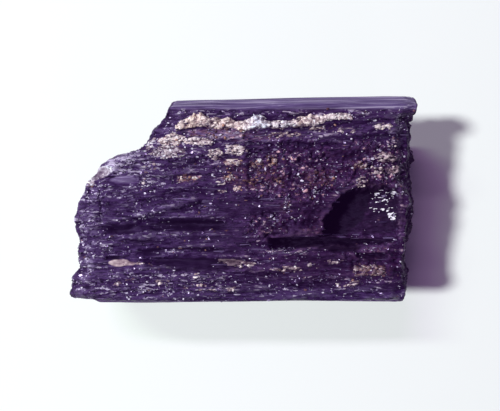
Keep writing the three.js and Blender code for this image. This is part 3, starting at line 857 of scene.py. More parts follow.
        # painted light and shade: above a half where the face stands higher than its blurred self, on
        # crests, and below a half in hollows
        grid = points[: self.face, 2].reshape(self.along + 1, self.across + 1)
        low = np.zeros(len(points))
        low[: self.face] = ((grid - softened(grid, 2)) / 0.5 + (grid - softened(grid, 6)) / 1.4).ravel()
        marks["crest_shade"] = np.clip(0.5 + 0.5 * low, 0.0, 1.0)
        strip = ease(y, *self.ridge_strip) * ease(share, 0.8, 0.86) * (1.0 - ease(np.abs(u), 0.985, 0.998))
        marks["strip"] = strip
        marks["wall"] = (1.0 - on_top) * (1.0 - strip)
        marks["low"] = ease(share, 0.92, 0.7)
        marks["across"] = points[:, 1] - self.far_edge[1] * points[:, 0] * ease(points[:, 1], 0.0, 12.0)
        unbroken = 1.0 - broken * (1.0 - on_top)
        marks["prism"] = np.clip((1.0 - on_top) * unbroken + strip, 0.0, 1.0)
        return marks


def place(points: Array) -> Array:
    """Places of the drawing's frame, in millimetres, in the frame's metres."""
    low = np.array(CAD_BOX[0])
    return (points - [LOW_CORNER[0], LOW_CORNER[1], 0.0]) * MM + [low[0], low[1], 0.0]


def linked(name: str, data: bpy.types.ID) -> bpy.types.Object:
    """A new object with that data, linked to the scene.

    Args:
        name: the object's name.
        data: its mesh, light or camera.

    Returns:
        The object.
    """
    thing = bpy.data.objects.new(name, data)
    bpy.context.scene.collection.objects.link(thing)
    return thing


def add_piece(name: str, material: bpy.types.Material, shell: Shell,
              more: list[list[int]], smooth: bool = False) -> bpy.types.Object:
    """Makes a piece from arrays, dresses it and lets it ride on the body.

    Args:
        name: the piece's name.
        material: its material.
        shell: corners, four-sided faces and values.
        more: further faces, with any number of corners.
        smooth: whether its faces are shaded smooth.

    Returns:
        The piece.
    """
    mesh = bpy.data.meshes.new(name)
    mesh.from_pydata(place(shell.points).tolist(), [], shell.quads.tolist() + more)
    for key, values in shell.marks.items():
        attribute = mesh.attributes.new(key, "FLOAT", "POINT")
        attribute.data.foreach_set("value", values.astype(np.float32))
    mesh.validate()
    mesh.update()
    mesh.polygons.foreach_set("use_smooth", np.full(len(mesh.polygons), smooth))
    mesh.materials.append(material)
    piece = linked(name, mesh)
    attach(piece, BODY)
    return piece


# --- small things that lie on it ------------------------------------------------------------


def frames_of(normals: Array, yaw: Array, tip: Array, lean: Array) -> Array:
    """A right-handed set of axes for each small thing: the first lies along the grain, turned by yaw
    about the normal, and then the set is tipped about the second axis and leant about the first.

    Args:
        normals: unit normals, (n, 3).
        yaw, tip, lean: angles in radians, (n,).

    Returns:
        An (n, 3, 3) array whose rows are the axes.
    """
    grain = np.array([1.0, 0.0, 0.0]) - normals * normals[:, :1]
    short = np.linalg.norm(grain, axis=1, keepdims=True)
    grain = np.where(short > 0.15, grain / np.maximum(short, 1e-9), [0.0, 1.0, 0.0])
    side = np.cross(normals, grain)
    side /= np.maximum(np.linalg.norm(side, axis=1, keepdims=True), 1e-9)
    grain = np.cross(side, normals)
    cy, sy = np.cos(yaw)[:, None], np.sin(yaw)[:, None]
    first, second = grain * cy + side * sy, side * cy - grain * sy
    ct, st = np.cos(tip)[:, None], np.sin(tip)[:, None]
    first, third = first * ct - normals * st, normals * ct + first * st
    cl, sl = np.cos(lean)[:, None], np.sin(lean)[:, None]
    second, third = second * cl + third * sl, third * cl - second * sl
    return np.stack((first, second, third), axis=1)


def ball(rings: int, sectors: int) -> tuple[Array, Array]:
    """A unit ball on a grid of rings and sectors, its poles closed by one corner each; at each pole
    the faces have that corner twice over, so they are given as quads with a repeated corner.

    Args:
        rings: rings of corners between the poles.
        sectors: corners in each ring.

    Returns:
        The corners and the faces.
    """
    polar = np.linspace(0.0, np.pi, rings + 2)[1:-1]
    turn = np.linspace(0.0, 2.0 * np.pi, sectors, endpoint=False)
    p, t = np.meshgrid(polar, turn, indexing="ij")
    body = np.stack((np.sin(p) * np.cos(t), np.sin(p) * np.sin(t), np.cos(p)), -1).reshape(-1, 3)
    corners = np.vstack((body, [[0.0, 0.0, 1.0], [0.0, 0.0, -1.0]]))
    ring = np.arange(rings * sectors).reshape(rings, sectors)
    north, south = (np.full(sectors, rings * sectors + k) for k in (0, 1))
    first, last = ring[0], ring[-1]
    top = np.stack((first, np.roll(first, -1), north, north), -1)
    foot = np.stack((np.roll(last, -1), last, south, south), -1)
    return corners, np.concatenate((quads_of(closed(ring)), top, foot))


class Spots(NamedTuple):
    """Random places on the crystal: unit normals, eight random numbers and the ground's own tints."""

    places: Array
    normals: Array
    random: Array
    bloom: Array
    warm: Array


class Laid(NamedTuple):
    """How each copy of a small shape lies: its place, its axes, its size along them and its values."""

    places: Array
    axes: Array
    sizes: Array
    marks: dict[str, Array]


@dataclass(frozen=True)
class Bed:
    """Many copies of a small shape, scattered over the crystal and joined into one piece."""

    name: str
    slot: str
    count: int
    seed: int
    length: Pair

    def shape(self, draw: np.random.Generator) -> tuple[Array, Array]:
        """The corners of each copy, (count, k, 3) and about one across, and the faces of one."""
        raise NotImplementedError

    def lay(self, spots: Spots) -> Laid:
        """How the copies lie at those spots."""
        raise NotImplementedError

    def spots(self, crystal: Shell, weights: Array) -> Spots:
        """Random places on the crystal, more of them where the weight is greater.

        Args:
            crystal: the shell that they lie on.
            weights: how many lie at each of its corners.

        Returns:
            The places, and what is known there.
        """
        draw = np.random.default_rng(self.seed)
        quads, points = crystal.quads, crystal.points
        cross = crosses_of(points, quads)
        area = np.linalg.norm(cross, axis=1)
        chance = area * np.mean([weights[quads[:, k]] for k in range(4)], axis=0)
        faces = draw.choice(len(quads), size=self.count, p=chance / chance.sum())
        s, t = draw.random((2, self.count, 1))
        a, b, c, d = (points[quads[faces, k]] for k in range(4))
        lower, upper = a * (1 - s) + b * s, d * (1 - s) + c * s
        normals = cross[faces] / np.maximum(area[faces, None], 1e-12)
        own = (crystal.marks[key][quads[faces]].mean(axis=1) for key in ("bloom", "warm"))
        return Spots(lower * (1 - t) + upper * t, normals, draw.random((self.count, 8)), *own)

    def build(self, crystal: Shell, weights: Array, material: bpy.types.Material) -> None:
        """Joins the copies into one piece: each corner is its copy's place plus its size along the
        copy's own axes, and faces with a repeated corner become triangles.

        Args:
            crystal: the shell that they lie on.
            weights: how many lie at each of its corners.
            material: the piece's material.
        """
        laid = self.lay(self.spots(crystal, weights))
        unit, quads = self.shape(np.random.default_rng(self.seed + SHAPE_SEED))
        corners = unit.shape[1]
        away = np.einsum("nkc,ncd->nkd", unit * laid.sizes[:, None, :], laid.axes)
        points = (laid.places[:, None, :] + away).reshape(-1, 3)
        faces = (quads + corners * np.arange(self.count)[:, None, None]).reshape(-1, 4)
        marks = {key: np.repeat(values, corners) for key, values in laid.marks.items()}
        doubled = faces[:, 2] == faces[:, 3]
        triangles = faces[doubled, :3].tolist()
        add_piece(self.name, material, Shell(points, faces[~doubled], marks), triangles)


@dataclass(frozen=True)
class GrainBed(Bed):
    """Rough rounded grains of one mineral."""

    width: Pair
    sunk: float = 0.25  # how much of its half height a grain is sunk by

    def shape(self, draw: np.random.Generator) -> tuple[Array, Array]:
        """A ball whose corners are moved in or out at random.

        Args:
            draw: where its random numbers come from.

        Returns:
            The corners of each copy, and the faces of one.
        """
        corners, quads = ball(4, 7)
        unit = corners[None] * (1.0 + 0.45 * (draw.random((self.count, len(corners), 1)) - 0.5))
        return unit + 0.22 * (draw.random((self.count, len(corners), 3)) - 0.5), quads

    def lay(self, spots: Spots) -> Laid:
        """Stretched along the grain, turned a little and partly sunk, each with a tint of its own.

        Args:
            spots: where they lie.

        Returns:
            How each copy lies.
        """
        random = spots.random
        long, wide = between(self.length, random[:, 0] ** 3), between(self.width, random[:, 1] ** 3)
        sizes = np.column_stack((np.maximum(long, wide), wide, 0.75 * wide)) / 2.0
        angles = (reach * (random[:, k] - 0.5) for k, reach in ((2, 0.9), (3, 0.7), (4, 0.7)))
        axes = frames_of(spots.normals, *angles)
        places = spots.places - spots.normals * (self.sunk * sizes[:, 2])[:, None]
        tint = np.clip(random[:, 5] * 0.95 + 0.6 * (spots.bloom - 0.65), 0.0, 1.0)
        warm = spots.warm + 0.9 * (random[:, 6] - 0.5)
        return Laid(places, axes, sizes, {"tint": tint, "warm": warm})


@dataclass(frozen=True)
class FlakeBed(Bed):
    """Thin six-sided flakes of mica."""

    tilt: float = 0.55
    thickness: float = 0.05

    def shape(self, draw: np.random.Generator) -> tuple[Array, Array]:
        """A plate with an uneven six-sided outline.

        Args:
            draw: where its random numbers come from.

        Returns:
            The corners of each copy, and the faces of one.
        """
        turn = np.linspace(0.0, 2.0 * np.pi, 6, endpoint=False)
        ring = np.column_stack((np.cos(turn), np.sin(turn)))
        outline = ring[None] * (0.75 + 0.5 * draw.random((self.count, 6, 1)))
        unit = np.ones((self.count, 12, 3))
        unit[:, :6, :2], unit[:, 6:, :2] = outline, outline
        unit[:, 6:, 2] = -1.0
        k = np.arange(6)
        sides = np.stack((k, k + 6, (k + 1) % 6 + 6, (k + 1) % 6), -1)
        return unit, np.concatenate((sides, [[0, 1, 2, 3], [0, 3, 4, 5], [9, 8, 7, 6], [11, 10, 9, 6]]))

    def lay(self, spots: Spots) -> Laid:
        """Tilted at random off the surface, half of them turned any way and half along the grain.

        Args:
            spots: where they lie.

        Returns:
            How each copy lies.
        """
        random = spots.random
        across = between(self.length, random[:, 0] ** 4)
        thick = np.full(self.count, self.thickness)
        sizes = np.column_stack((across * (1.0 + random[:, 1]), across, thick)) / 2.0
        tip, lean = (self.tilt * 2.0 * (random[:, k] - 0.5) for k in (3, 4))
        axes = frames_of(spots.normals, 6.3 * random[:, 2] * (random[:, 6] > 0.5), tip, lean)
        places = spots.places + spots.normals * (0.25 * across * random[:, 1])[:, None] * self.tilt
        # a random tint for each flake; the palest are painted glints as well as pale mica
        return Laid(places, axes, sizes, {"tint": random[:, 5]})


@dataclass(frozen=True)
class SplinterBed(Bed):
    """Slivers of schorl that lie along the grain."""

    width: Pair

    def shape(self, draw: np.random.Generator) -> tuple[Array, Array]:
        """A ball's rings spaced evenly along the grain, so that it is a five-sided sliver whose ends
        are drawn in to a point by a sine.

        Args:
            draw: where its random numbers come from.

        Returns:
            The corners of each copy, and the faces of one.
        """
        stations, sides = 4, 5
        corners, quads = ball(stations, sides)
        corners = corners[:, [2, 0, 1]].copy()
        corners[: stations * sides, 0] = np.repeat(np.linspace(0.86, -0.86, stations), sides)
        return corners[None] * (1.0 + 0.4 * (draw.random((self.count, len(corners), 1)) - 0.5)), quads

    def lay(self, spots: Spots) -> Laid:
        """Nearly level, along the grain, and rolled about it at random.

        Args:
            spots: where they lie.

        Returns:
            How each copy lies.
        """
        random = spots.random
        long, wide = between(self.length, random[:, 0] ** 2.5), between(self.width, random[:, 1] ** 2)
        sizes = np.column_stack((long, wide, 0.7 * wide)) / 2.0
        level = spots.normals * [0.35, 1.0, 1.0] + [0.0, 0.0, 0.5]
        level /= np.linalg.norm(level, axis=1, keepdims=True)
        yaw, tip = 0.12 * (random[:, 2] - 0.5), 0.10 * (random[:, 3] - 0.5)
        axes = frames_of(level, yaw, tip, 2.0 * random[:, 4])
        return Laid(spots.places, axes, sizes, {"tint": random[:, 5]})


# --- finishes -------------------------------------------------------------------------------


SUNNY = (1.01, 0.92, 0.79)  # stains yellower feldspar
COLD = (0.84, 0.95, 1.06)  # stains greyer feldspar


class Nodes:
    """A material's node tree, written out a node at a time."""

    def __init__(self, name: str) -> None:
        """Starts a material that holds one Principled shader.

        Args:
            name: the material's name.
        """
        self.material = bpy.data.materials.new(name)
        self.material.use_nodes = True
        self.tree = self.material.node_tree
        self.shader = self.tree.nodes["Principled BSDF"]

    def add(self, kind: str, inputs: dict[str | int, object] | None = None,
            **settings: object) -> bpy.types.Node:
        """Adds a node.

        Args:
            kind: its type without the ShaderNode prefix.
            inputs: a value or another node's output for each input, by name or number.
            settings: the node's own properties.

        Returns:
            The node.
        """
        node = self.tree.nodes.new("ShaderNode" + kind)
        for key, value in settings.items():
            setattr(node, key, value)
        for key, value in (inputs or {}).items():
            self.feed(node.inputs[key], value)
        return node

    def feed(self, socket: Socket, value: object) -> None:
        """Links an output to a socket, or sets the socket's own value.

        Args:
            socket: the input.
            value: another node's output, a number or a colour.
        """
        if isinstance(value, Socket):
            self.tree.links.new(value, socket)
        else:
            coloured = isinstance(value, tuple) and socket.type == "RGBA"
            socket.default_value = (*value, 1.0) if coloured else value

    def value(self, name: str) -> Socket:
        """The mesh's value of that name."""
        return self.add("Attribute", attribute_name=name).outputs["Fac"]

    def mapped(self, size: Triple) -> Socket:
        """The object's own coordinates, counted in cells of that size in millimetres."""
        inputs = {"Vector": self.add("TexCoord").outputs["Object"], "Scale": [1.0 / (MM * a) for a in size]}
        return self.add("Mapping", inputs).outputs["Vector"]

    def noise_at(self, cells: Socket, detail: float, rough: float) -> Socket:
        """Noise from 0 to 1 at coordinates that are counted in cells."""
        inputs = {"Vector": cells, "Scale": 1.0, "Detail": detail, "Roughness": rough}
        return self.add("TexNoise", inputs).outputs["Fac"]

    def noise(self, size: Triple, detail: float = 3.0, rough: float = 0.6) -> Socket:
        """Noise from 0 to 1 whose coarsest lumps have that size in millimetres."""
        return self.noise_at(self.mapped(size), detail, rough)

    def strands(self, width: float) -> Socket:
        """Noise from 0 to 1 drawn out along the prism's edges.

        Args:
            width: about how wide its lines are, in millimetres.

        Returns:
            The noise.
        """
        place = self.add("SeparateXYZ", {0: self.mapped((25.0, width, width))})
        across = self.math("DIVIDE", self.value("across"), width)
        inputs = {0: place.outputs["X"], 1: across, 2: place.outputs["Z"]}
        return self.noise_at(self.add("CombineXYZ", inputs).outputs[0], 4.0, 0.6)

    def cells(self, size: Triple) -> tuple[Socket, Socket]:
        """The distance from grain centres and a random colour for each grain of that size."""
        node = self.add("TexVoronoi", {"Vector": self.mapped(size), "Scale": 1.0})
        return node.outputs["Distance"], node.outputs["Color"]

    def math(self, operation: str, a: object, b: object, clamp: bool = False) -> Socket:
        """One sum on two numbers."""
        return self.add("Math", {0: a, 1: b}, operation=operation, use_clamp=clamp).outputs[0]

    def plus(self, a: object, b: object, clamp: bool = False) -> Socket:
        """One number added to another."""
        return self.math("ADD", a, b, clamp)

    def times(self, a: object, b: object) -> Socket:
        """One number multiplied by another."""
        return self.math("MULTIPLY", a, b)

    def sway(self, value: object, reach: object) -> Socket:
        """How far a number from 0 to 1 is from its middle, times a reach."""
        return self.times(self.math("SUBTRACT", value, 0.5), reach)

    def rest(self, value: object, clamp: bool = False) -> Socket:
        """One less a number."""
        return self.math("SUBTRACT", 1.0, value, clamp)

    def spread(self, value: object, low: float, high: float, to_low: float = 0.0,
               to_high: float = 1.0) -> Socket:
        """A number carried from one range to another and held at its ends."""
        inputs = {"Value": value, "From Min": low, "From Max": high, "To Min": to_low, "To Max": to_high}
        return self.add("MapRange", inputs).outputs["Result"]

    def mix(self, share: object, a: object, b: object, blend: str = "MIX") -> Socket:
        """Colour a where the share is 0 and b where it is 1.

        Args:
            share: 0 to 1.
            a, b: the colours.
            blend: how b is laid over a.

        Returns:
            The colour.
        """
        node = self.add("Mix", data_type="RGBA", blend_type=blend)
        for index, value in ((0, share), (6, a), (7, b)):
            self.feed(node.inputs[index], value)
        return node.outputs[2]

    def stained(self, colour: object, stain: Colour, share: object) -> Socket:
        """A colour, multiplied by a stain where the share is 1."""
        return self.mix(share, colour, self.mix(1.0, colour, stain, "MULTIPLY"))

    def tempered(self, colour: object) -> Socket:
        """A colour stained sunny where the mesh's warmth is above nought and cold where it is below.

        Args:
            colour: the colour.

        Returns:
            The stained colour.
        """
        for stain, end in ((SUNNY, 1.0), (COLD, -1.0)):
            colour = self.stained(colour, stain, self.spread(self.value("warm"), 0.0, end))
        return colour

    def ramp(self, value: object, stops: Stops) -> Socket:
        """A colour for a number, by stops.

        Args:
            value: 0 to 1.
            stops: a place from 0 to 1 and a colour for each stop.

        Returns:
            The colour.
        """
        node = self.add("ValToRGB", {"Fac": value})
        elements = node.color_ramp.elements
        while len(elements) < len(stops):
            elements.new(0.5)
        for element, (position, colour) in zip(elements, stops):
            element.position, element.color = position, (*colour, 1.0)
        return node.outputs["Color"]

    def tilted(self, colour: object, amount: object) -> Socket:
        """The surface's normal, tilted each way by a colour's difference from grey.

        Args:
            colour: a random colour for each facet.
            amount: how strongly it is tilted.

        Returns:
            The tilted normal.
        """
        off = self.add("VectorMath", {0: colour, 1: (0.5, 0.5, 0.5)}, operation="SUBTRACT").outputs[0]
        off = self.add("VectorMath", {0: off, "Scale": amount}, operation="SCALE").outputs[0]
        normal = self.add("NewGeometry").outputs["Normal"]
        whole = self.add("VectorMath", {0: normal, 1: off}, operation="ADD").outputs[0]
        return self.add("VectorMath", {0: whole}, operation="NORMALIZE").outputs[0]

    def bump(self, height: object, distance: float, strength: float, under: object = None) -> Socket:
        """A bump of the surface's normal.

        Args:
            height: 0 to 1.
            distance: how far a height of 1 stands out, in millimetres.
            strength: how strongly it shows.
            under: the normal that it bends, or the mesh's own.

        Returns:
            The bent normal.
        """
        inputs = {"Height": height, "Distance": distance * MM, "Strength": strength}
        if under is not None:
            inputs["Normal"] = under
        return self.add("Bump", inputs).outputs["Normal"]

    def finished(self, inputs: dict[str, object]) -> bpy.types.Material:
        """Links or sets the shader's own inputs.

        Args:
            inputs: a value or another node's output for each input, by name.

        Returns:
            The material.
        """
        for key, value in inputs.items():
            self.feed(self.shader.inputs[key], value)
        return self.material


@dataclass(frozen=True)
class SchorlFinish:
    """Violet-black schorl with stains and intergrown feldspar and mica."""

    schorl: Stops = (
        (0.22, (0.011, 0.0028, 0.024)), (0.36, (0.023, 0.0072, 0.048)), (0.50, (0.038, 0.0155, 0.074)),
        (0.64, (0.064, 0.033, 0.116)), (0.78, (0.118, 0.077, 0.185)), (0.86, (0.19, 0.142, 0.275)),
        (0.93, (0.31, 0.245, 0.41)), (1.0, (0.60, 0.52, 0.72)),
    )
    # the far strip's striations; its lighter colour is painted sheen of the smooth far prism face
    strip: Stops = (
        (0.34, (0.034, 0.018, 0.070)), (0.45, (0.102, 0.067, 0.18)), (0.55, (0.152, 0.11, 0.245)),
        (0.68, (0.42, 0.36, 0.52)),
    )
    cream: Stops = (
        (0.20, (0.060, 0.026, 0.056)), (0.36, (0.24, 0.155, 0.20)), (0.52, (0.49, 0.37, 0.42)),
        (0.68, (0.75, 0.62, 0.67)), (0.85, (0.98, 0.87, 0.92)),
    )
    brown: Colour = (1.08, 0.80, 0.70)
    ochre: Colour = (1.9, 1.15, 0.85)
    # painted shade in the pocket, the slot and some hollows, and darker stone elsewhere, where the dark
    # mark is
    shade_and_dark_stone: Colour = (0.07, 0.04, 0.07)
    rust: Colour = (0.150, 0.056, 0.088)
    honey: Colour = (0.62, 0.34, 0.21)
    # pale mica, and painted glints where the mica mark and the flecks are strongest
    pearl_and_glint: Colour = (0.86, 0.80, 0.93)
    # a faint violet glow: painted light that keeps the deepest shade from going black
    violet_glow: Colour = (0.0050, 0.0010, 0.0095)
    shine: Colour = (0.62, 0.38, 1.0)
    shade: Colour = (1.03, 0.74, 1.06)
    # painted: the lower walls tinted green against the violet light that falls in their shade
    shade_counter_tint: Colour = (0.78, 1.35, 0.60)
    ior: float = 1.64
    specular: float = 0.20
    band_cells: Triple = (4.5, 0.5, 0.5)
    chip_cells: Triple = (0.85, 0.31, 0.31)
    crumb_cells: Triple = (0.48, 0.38, 0.38)
    glow_cells: Triple = (6.0, 1.6, 1.6)
    cloud_cells: Triple = (1.1, 0.8, 0.8)
    sugar_cells: Triple = (0.80, 0.58, 0.58)
    blotch_cells: Triple = (0.9, 0.5, 0.5)
    fray_cells: Triple = (0.9, 0.16, 0.16)
    fleck_cells: Triple = (0.55, 0.34, 0.34)
    fibre_cells: Triple = (2.5, 0.2, 0.2)
    strand_width: float = 0.30
    even_rough: float = 0.45
    dark_rough: float = 0.7
    wall_rough: float = 0.95
    feldspar_rough: float = 0.65

    def bands(self, n: Nodes, calm: Socket, parts: bpy.types.Node) -> Socket:
        """The schorl's colour: bands of dark and lighter schorl drawn out along the grain, broken into
        facets of their own tone, painted lighter on crests and darker in hollows, with a few bright specks,
        and earthy where it crumbles.

        Args:
            n: the material's nodes.
            calm: 0 where the ground is smooth and 1 where it is rough.
            parts: a random red, green and blue for each facet.

        Returns:
            The colour.
        """
        crumb, lone = n.value("crumble"), parts.outputs["Red"]
        tone = n.plus(n.times(n.noise(self.band_cells, 5.0, 0.68), 0.75), 0.085)
        tone = n.math("SUBTRACT", tone, n.times(n.value("east"), 0.085))
        # painted light on crests and painted shade in hollows
        tone = n.plus(tone, n.sway(n.value("crest_shade"), 0.55))
        swing = n.plus(n.times(crumb, 0.10), 0.40)
        tone = n.plus(tone, n.times(n.sway(lone, calm), swing))
        speck = n.value("speck")
        spark = n.spread(n.plus(lone, n.times(speck, 0.12)), 0.90, 0.97)
        spark = n.times(n.times(spark, calm), n.rest(n.value("dark"), True))
        glow = n.spread(n.noise(self.glow_cells), 0.35, 0.6, 0.04, 0.30)
        tone = n.plus(tone, n.times(spark, n.plus(glow, n.times(speck, 0.16))))
        # paler ground, and the painted highlight along the near edge
        tone = n.plus(tone, n.times(n.value("pale"), 0.28))
        base = n.stained(n.ramp(tone, self.schorl), self.brown, n.times(n.value("east"), 0.7))
        earth = n.times(n.math("MAXIMUM", n.value("rust"), n.times(crumb, 0.5)), calm)
        earth = n.times(earth, n.spread(parts.outputs["Blue"], 0.45, 0.75))
        return n.stained(base, self.ochre, n.times(earth, 0.75))

    def sugar(self, n: Nodes, blotch: Socket) -> Socket:
        """The feldspar's colour: clouded, painted lighter on crests and darker in hollows, with a tone for
        each of its small grains, and yellow where rust has stained it.

        Args:
            n: the material's nodes.
            blotch: noise that the rust's stains follow.

        Returns:
            The colour.
        """
        lit = n.times(n.noise(self.cloud_cells, 4.0, 0.65), 0.9)
        # painted light on crests and painted shade in hollows
        lit = n.plus(lit, n.sway(n.value("crest_shade"), 0.45))
        core, own = n.cells(self.sugar_cells)
        own = n.add("SeparateColor", {"Color": own}).outputs["Red"]
        knobs = n.plus(n.times(n.math("SUBTRACT", 0.42, core), 0.42), n.sway(own, 0.42))
        lit = n.plus(lit, n.times(knobs, n.rest(n.value("smooth"))))
        lit = n.plus(lit, n.spread(n.value("bloom"), 0.2, 1.0, -0.25, 0.17))
        stain = n.times(n.value("rust"), n.spread(blotch, 0.4, 0.6, 0.0, 0.8))
        return n.tempered(n.mix(stain, n.ramp(lit, self.cream), self.honey))

    def build(self) -> bpy.types.Material:
        """The material: schorl in facets that tilt each their own way, with rust, feldspar and mica
        laid over it by the mesh's own values, and painted shade, painted sheen, painted glints and a faint
        painted glow.

        Returns:
            The material.
        """
        n = Nodes("schorl")
        even = n.math("MAXIMUM", n.value("smooth"), n.value("prism"))
        calm = n.rest(even, True)
        _, chip = n.cells(self.chip_cells)
        _, crumbs = n.cells(self.crumb_cells)
        facet = n.mix(n.value("crumble"), chip, crumbs)
        parts = n.add("SeparateColor", {"Color": facet})
        lines, blotch = n.strands(self.strand_width), n.noise(self.blotch_cells)
        # the far strip's lighter ramp: striations with painted sheen
        base = n.mix(n.value("strip"), self.bands(n, calm, parts), n.ramp(lines, self.strip))
        rusted = n.times(n.value("rust"), n.spread(blotch, 0.42, 0.62))
        base = n.mix(n.times(rusted, 0.7), base, self.rust)
        fray = n.spread(n.value("smooth"), 0.0, 1.0, 0.9, 0.2)
        edge = n.sway(n.noise(self.fray_cells, 2.0), fray)
        cover = n.spread(n.plus(n.value("feldspar"), edge), 0.38, 0.55)
        base = n.mix(cover, base, self.sugar(n, blotch))
        # painted shade in the pocket, the slot and some hollows, and darker stone elsewhere
        base = n.stained(base, self.shade_and_dark_stone, n.value("dark"))
        # pale mica flecks, partly painted glints
        _, flecks = n.cells(self.fleck_cells)
        flecks = n.add("SeparateColor", {"Color": flecks}).outputs["Green"]
        glitter = n.spread(n.plus(n.value("mica"), n.sway(flecks, 1.1)), 0.88, 1.0)
        base = n.mix(glitter, base, self.pearl_and_glint)
        base = n.stained(base, self.shade, n.value("wall"))
        # painted: the lower walls tinted green against the violet light in their shade
        base = n.stained(base, self.shade_counter_tint, n.value("low"))
        rough = n.spread(parts.outputs["Green"], 0.0, 1.0, 0.22, 0.6)
        for share, level in (
            (even, self.even_rough), (n.value("dark"), self.dark_rough),
            (n.value("wall"), self.wall_rough), (cover, self.feldspar_rough),
        ):
            rough = n.mix(share, rough, (level, level, level))
        tilted = n.tilted(facet, n.times(calm, 0.75))
        fibres = n.bump(n.times(n.noise(self.fibre_cells, 4.0, 0.6), calm), 0.20, 0.8, tilted)
        # the emission is a faint violet painted glow that lifts the deepest shade
        return n.finished({
            "Base Color": base, "Roughness": rough, "IOR": self.ior, "Emission Color": self.violet_glow,
            "Emission Strength": 1.0, "Specular IOR Level": self.specular, "Specular Tint": self.shine,
            "Normal": n.bump(lines, 0.12, 0.7, fibres),
        })


@dataclass(frozen=True)
class GrainFinish:
    """A mineral in small grains, each with a tint of its own."""

    name: str
    stops: Stops
    roughness: float
    ior: float = 1.53
    shine: Colour = (0.75, 0.55, 1.0)
    cells: Triple = (0.3, 0.2, 0.2)

    def build(self) -> bpy.types.Material:
        """The material: a colour by the grain's own tint, clouded by fine noise, with a fine bump.

        Returns:
            The material.
        """
        n = Nodes(self.name)
        fine = n.noise(self.cells)
        tone = n.plus(n.value("tint"), n.sway(fine, 0.35), True)
        return n.finished({
            "Base Color": n.tempered(n.ramp(tone, self.stops)), "Roughness": self.roughness,
            "IOR": self.ior, "Specular Tint": self.shine, "Normal": n.bump(fine, 0.06, 0.5),
        })


# --- the studio -----------------------------------------------------------------------------


@dataclass(frozen=True)
class Lamp:
    """An oval soft light that looks at the crystal."""

    name: str
    azimuth: float  # degrees from +X towards +Y
    elevation: float
    width: float
    height: float
    roll: float  # degrees, turned about its own beam
    power: float
    colour: Colour
    distance: float = 1500.0
    aim: float = 8.0  # the height that it looks at

    def build(self) -> None:
        """Places the lamp at its azimuth, elevation and distance, turned to the crystal's middle."""
        a, e = math.radians(self.azimuth), math.radians(self.elevation)
        way = Vector((math.cos(a) * math.cos(e), math.sin(a) * math.cos(e), math.sin(e)))
        data = bpy.data.lights.new(self.name, "AREA")
        data.shape, data.size, data.size_y = "ELLIPSE", self.width * MM, self.height * MM
        data.energy, data.color = self.power, self.colour
        lamp = linked(self.name, data)
        lamp.location = (way * self.distance + Vector((0.0, 0.0, self.aim))) * MM
        lamp.rotation_mode = "QUATERNION"
        turn = Quaternion((0.0, 0.0, 1.0), math.radians(self.roll))
        lamp.rotation_quaternion = way.to_track_quat("Z", "Y") @ turn


@dataclass(frozen=True)
class Studio:
    """The pale floor, the lights and the camera straight above."""

    floor_colour: Colour = (0.93, 0.95, 0.96)
    air: Colour = (0.042, 0.017, 0.066)
    backdrop: Colour = (0.80, 0.82, 0.86)
    camera_place: Triple = (1.12, -1.3, 95.0)
    field_of_view: float = 59.3
    sensor: float = 36.0
    near_clip: float = 0.001
    lamps: tuple[Lamp, ...] = (
        Lamp("key", 178.0, 46.5, 190.0, 190.0, 0.0, 24.7, (0.953, 1.011, 0.95)),
        Lamp("window", 139.0, 41.5, 520.0, 130.0, -39.0, 4.2, (0.90, 1.10, 0.85)),
        Lamp("second_window", 120.0, 49.5, 480.0, 130.0, -25.0, 2.4, (1.12, 0.70, 1.27)),
        Lamp("right_fill", -8.0, 10.0, 400.0, 400.0, 0.0, 0.8, (0.95, 0.88, 1.0)),
        Lamp("near_fill", -80.0, 10.0, 400.0, 400.0, 0.0, 1.3, (0.95, 0.88, 1.0)),
    )

    def build(self) -> None:
        """Makes the floor, the lights, the air and the camera."""
        self.floor()
        for lamp in self.lamps:
            lamp.build()
        world = bpy.data.worlds.new("air")
        world.use_nodes = True
        nodes, links = world.node_tree.nodes, world.node_tree.links
        seen = nodes.new("ShaderNodeLightPath").outputs["Is Camera Ray"]
        blend = nodes.new("ShaderNodeMix")
        blend.data_type = "RGBA"
        blend.inputs[6].default_value = (*self.air, 1.0)
        blend.inputs[7].default_value = (*self.backdrop, 1.0)
        links.new(seen, blend.inputs[0])
        links.new(blend.outputs[2], nodes["Background"].inputs["Color"])
        bpy.context.scene.world = world
        bpy.context.scene.view_settings.view_transform = "Standard"
        self.camera()

    def floor(self) -> None:
        """A plain pale floor, a grid of two parameters, one metre to each side."""
        side = np.linspace(-1.0, 1.0, 3)
        s, t = np.meshgrid(side, side, indexing="ij")
        corners = np.column_stack((s.ravel(), t.ravel(), np.zeros(s.size)))
        mesh = bpy.data.meshes.new("floor")
        mesh.from_pydata(corners.tolist(), [], quads_of(np.arange(s.size).reshape(s.shape)).tolist())
        look = {"Base Color": self.floor_colour, "Roughness": 0.95, "Specular IOR Level": 0.1}
        mesh.materials.append(Nodes("floor").finished(look))
        linked("floor", mesh)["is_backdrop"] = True

    def camera(self) -> None:
        """The camera, level over the crystal and looking straight down."""
        data = bpy.data.cameras.new("camera")
        data.sensor_width = self.sensor
        data.lens = 0.5 * self.sensor / math.tan(math.radians(self.field_of_view / 2.0))
        data.clip_start = self.near_clip
        camera = linked("camera", data)
        camera.location = tuple(place(np.array([self.camera_place]))[0])
        bpy.context.scene.camera = camera


# --- putting it together --------------------------------------------------------------------

CREAM_STOPS = (
    (0.0, (0.13, 0.075, 0.11)), (0.3, (0.34, 0.245, 0.285)), (0.6, (0.60, 0.475, 0.51)),
    (0.85, (0.86, 0.75, 0.79)), (1.0, (0.98, 0.90, 0.95)),
)
RUST_STOPS = ((0.0, (0.05, 0.018, 0.034)), (0.6, (0.15, 0.066, 0.080)), (1.0, (0.46, 0.25, 0.20)))
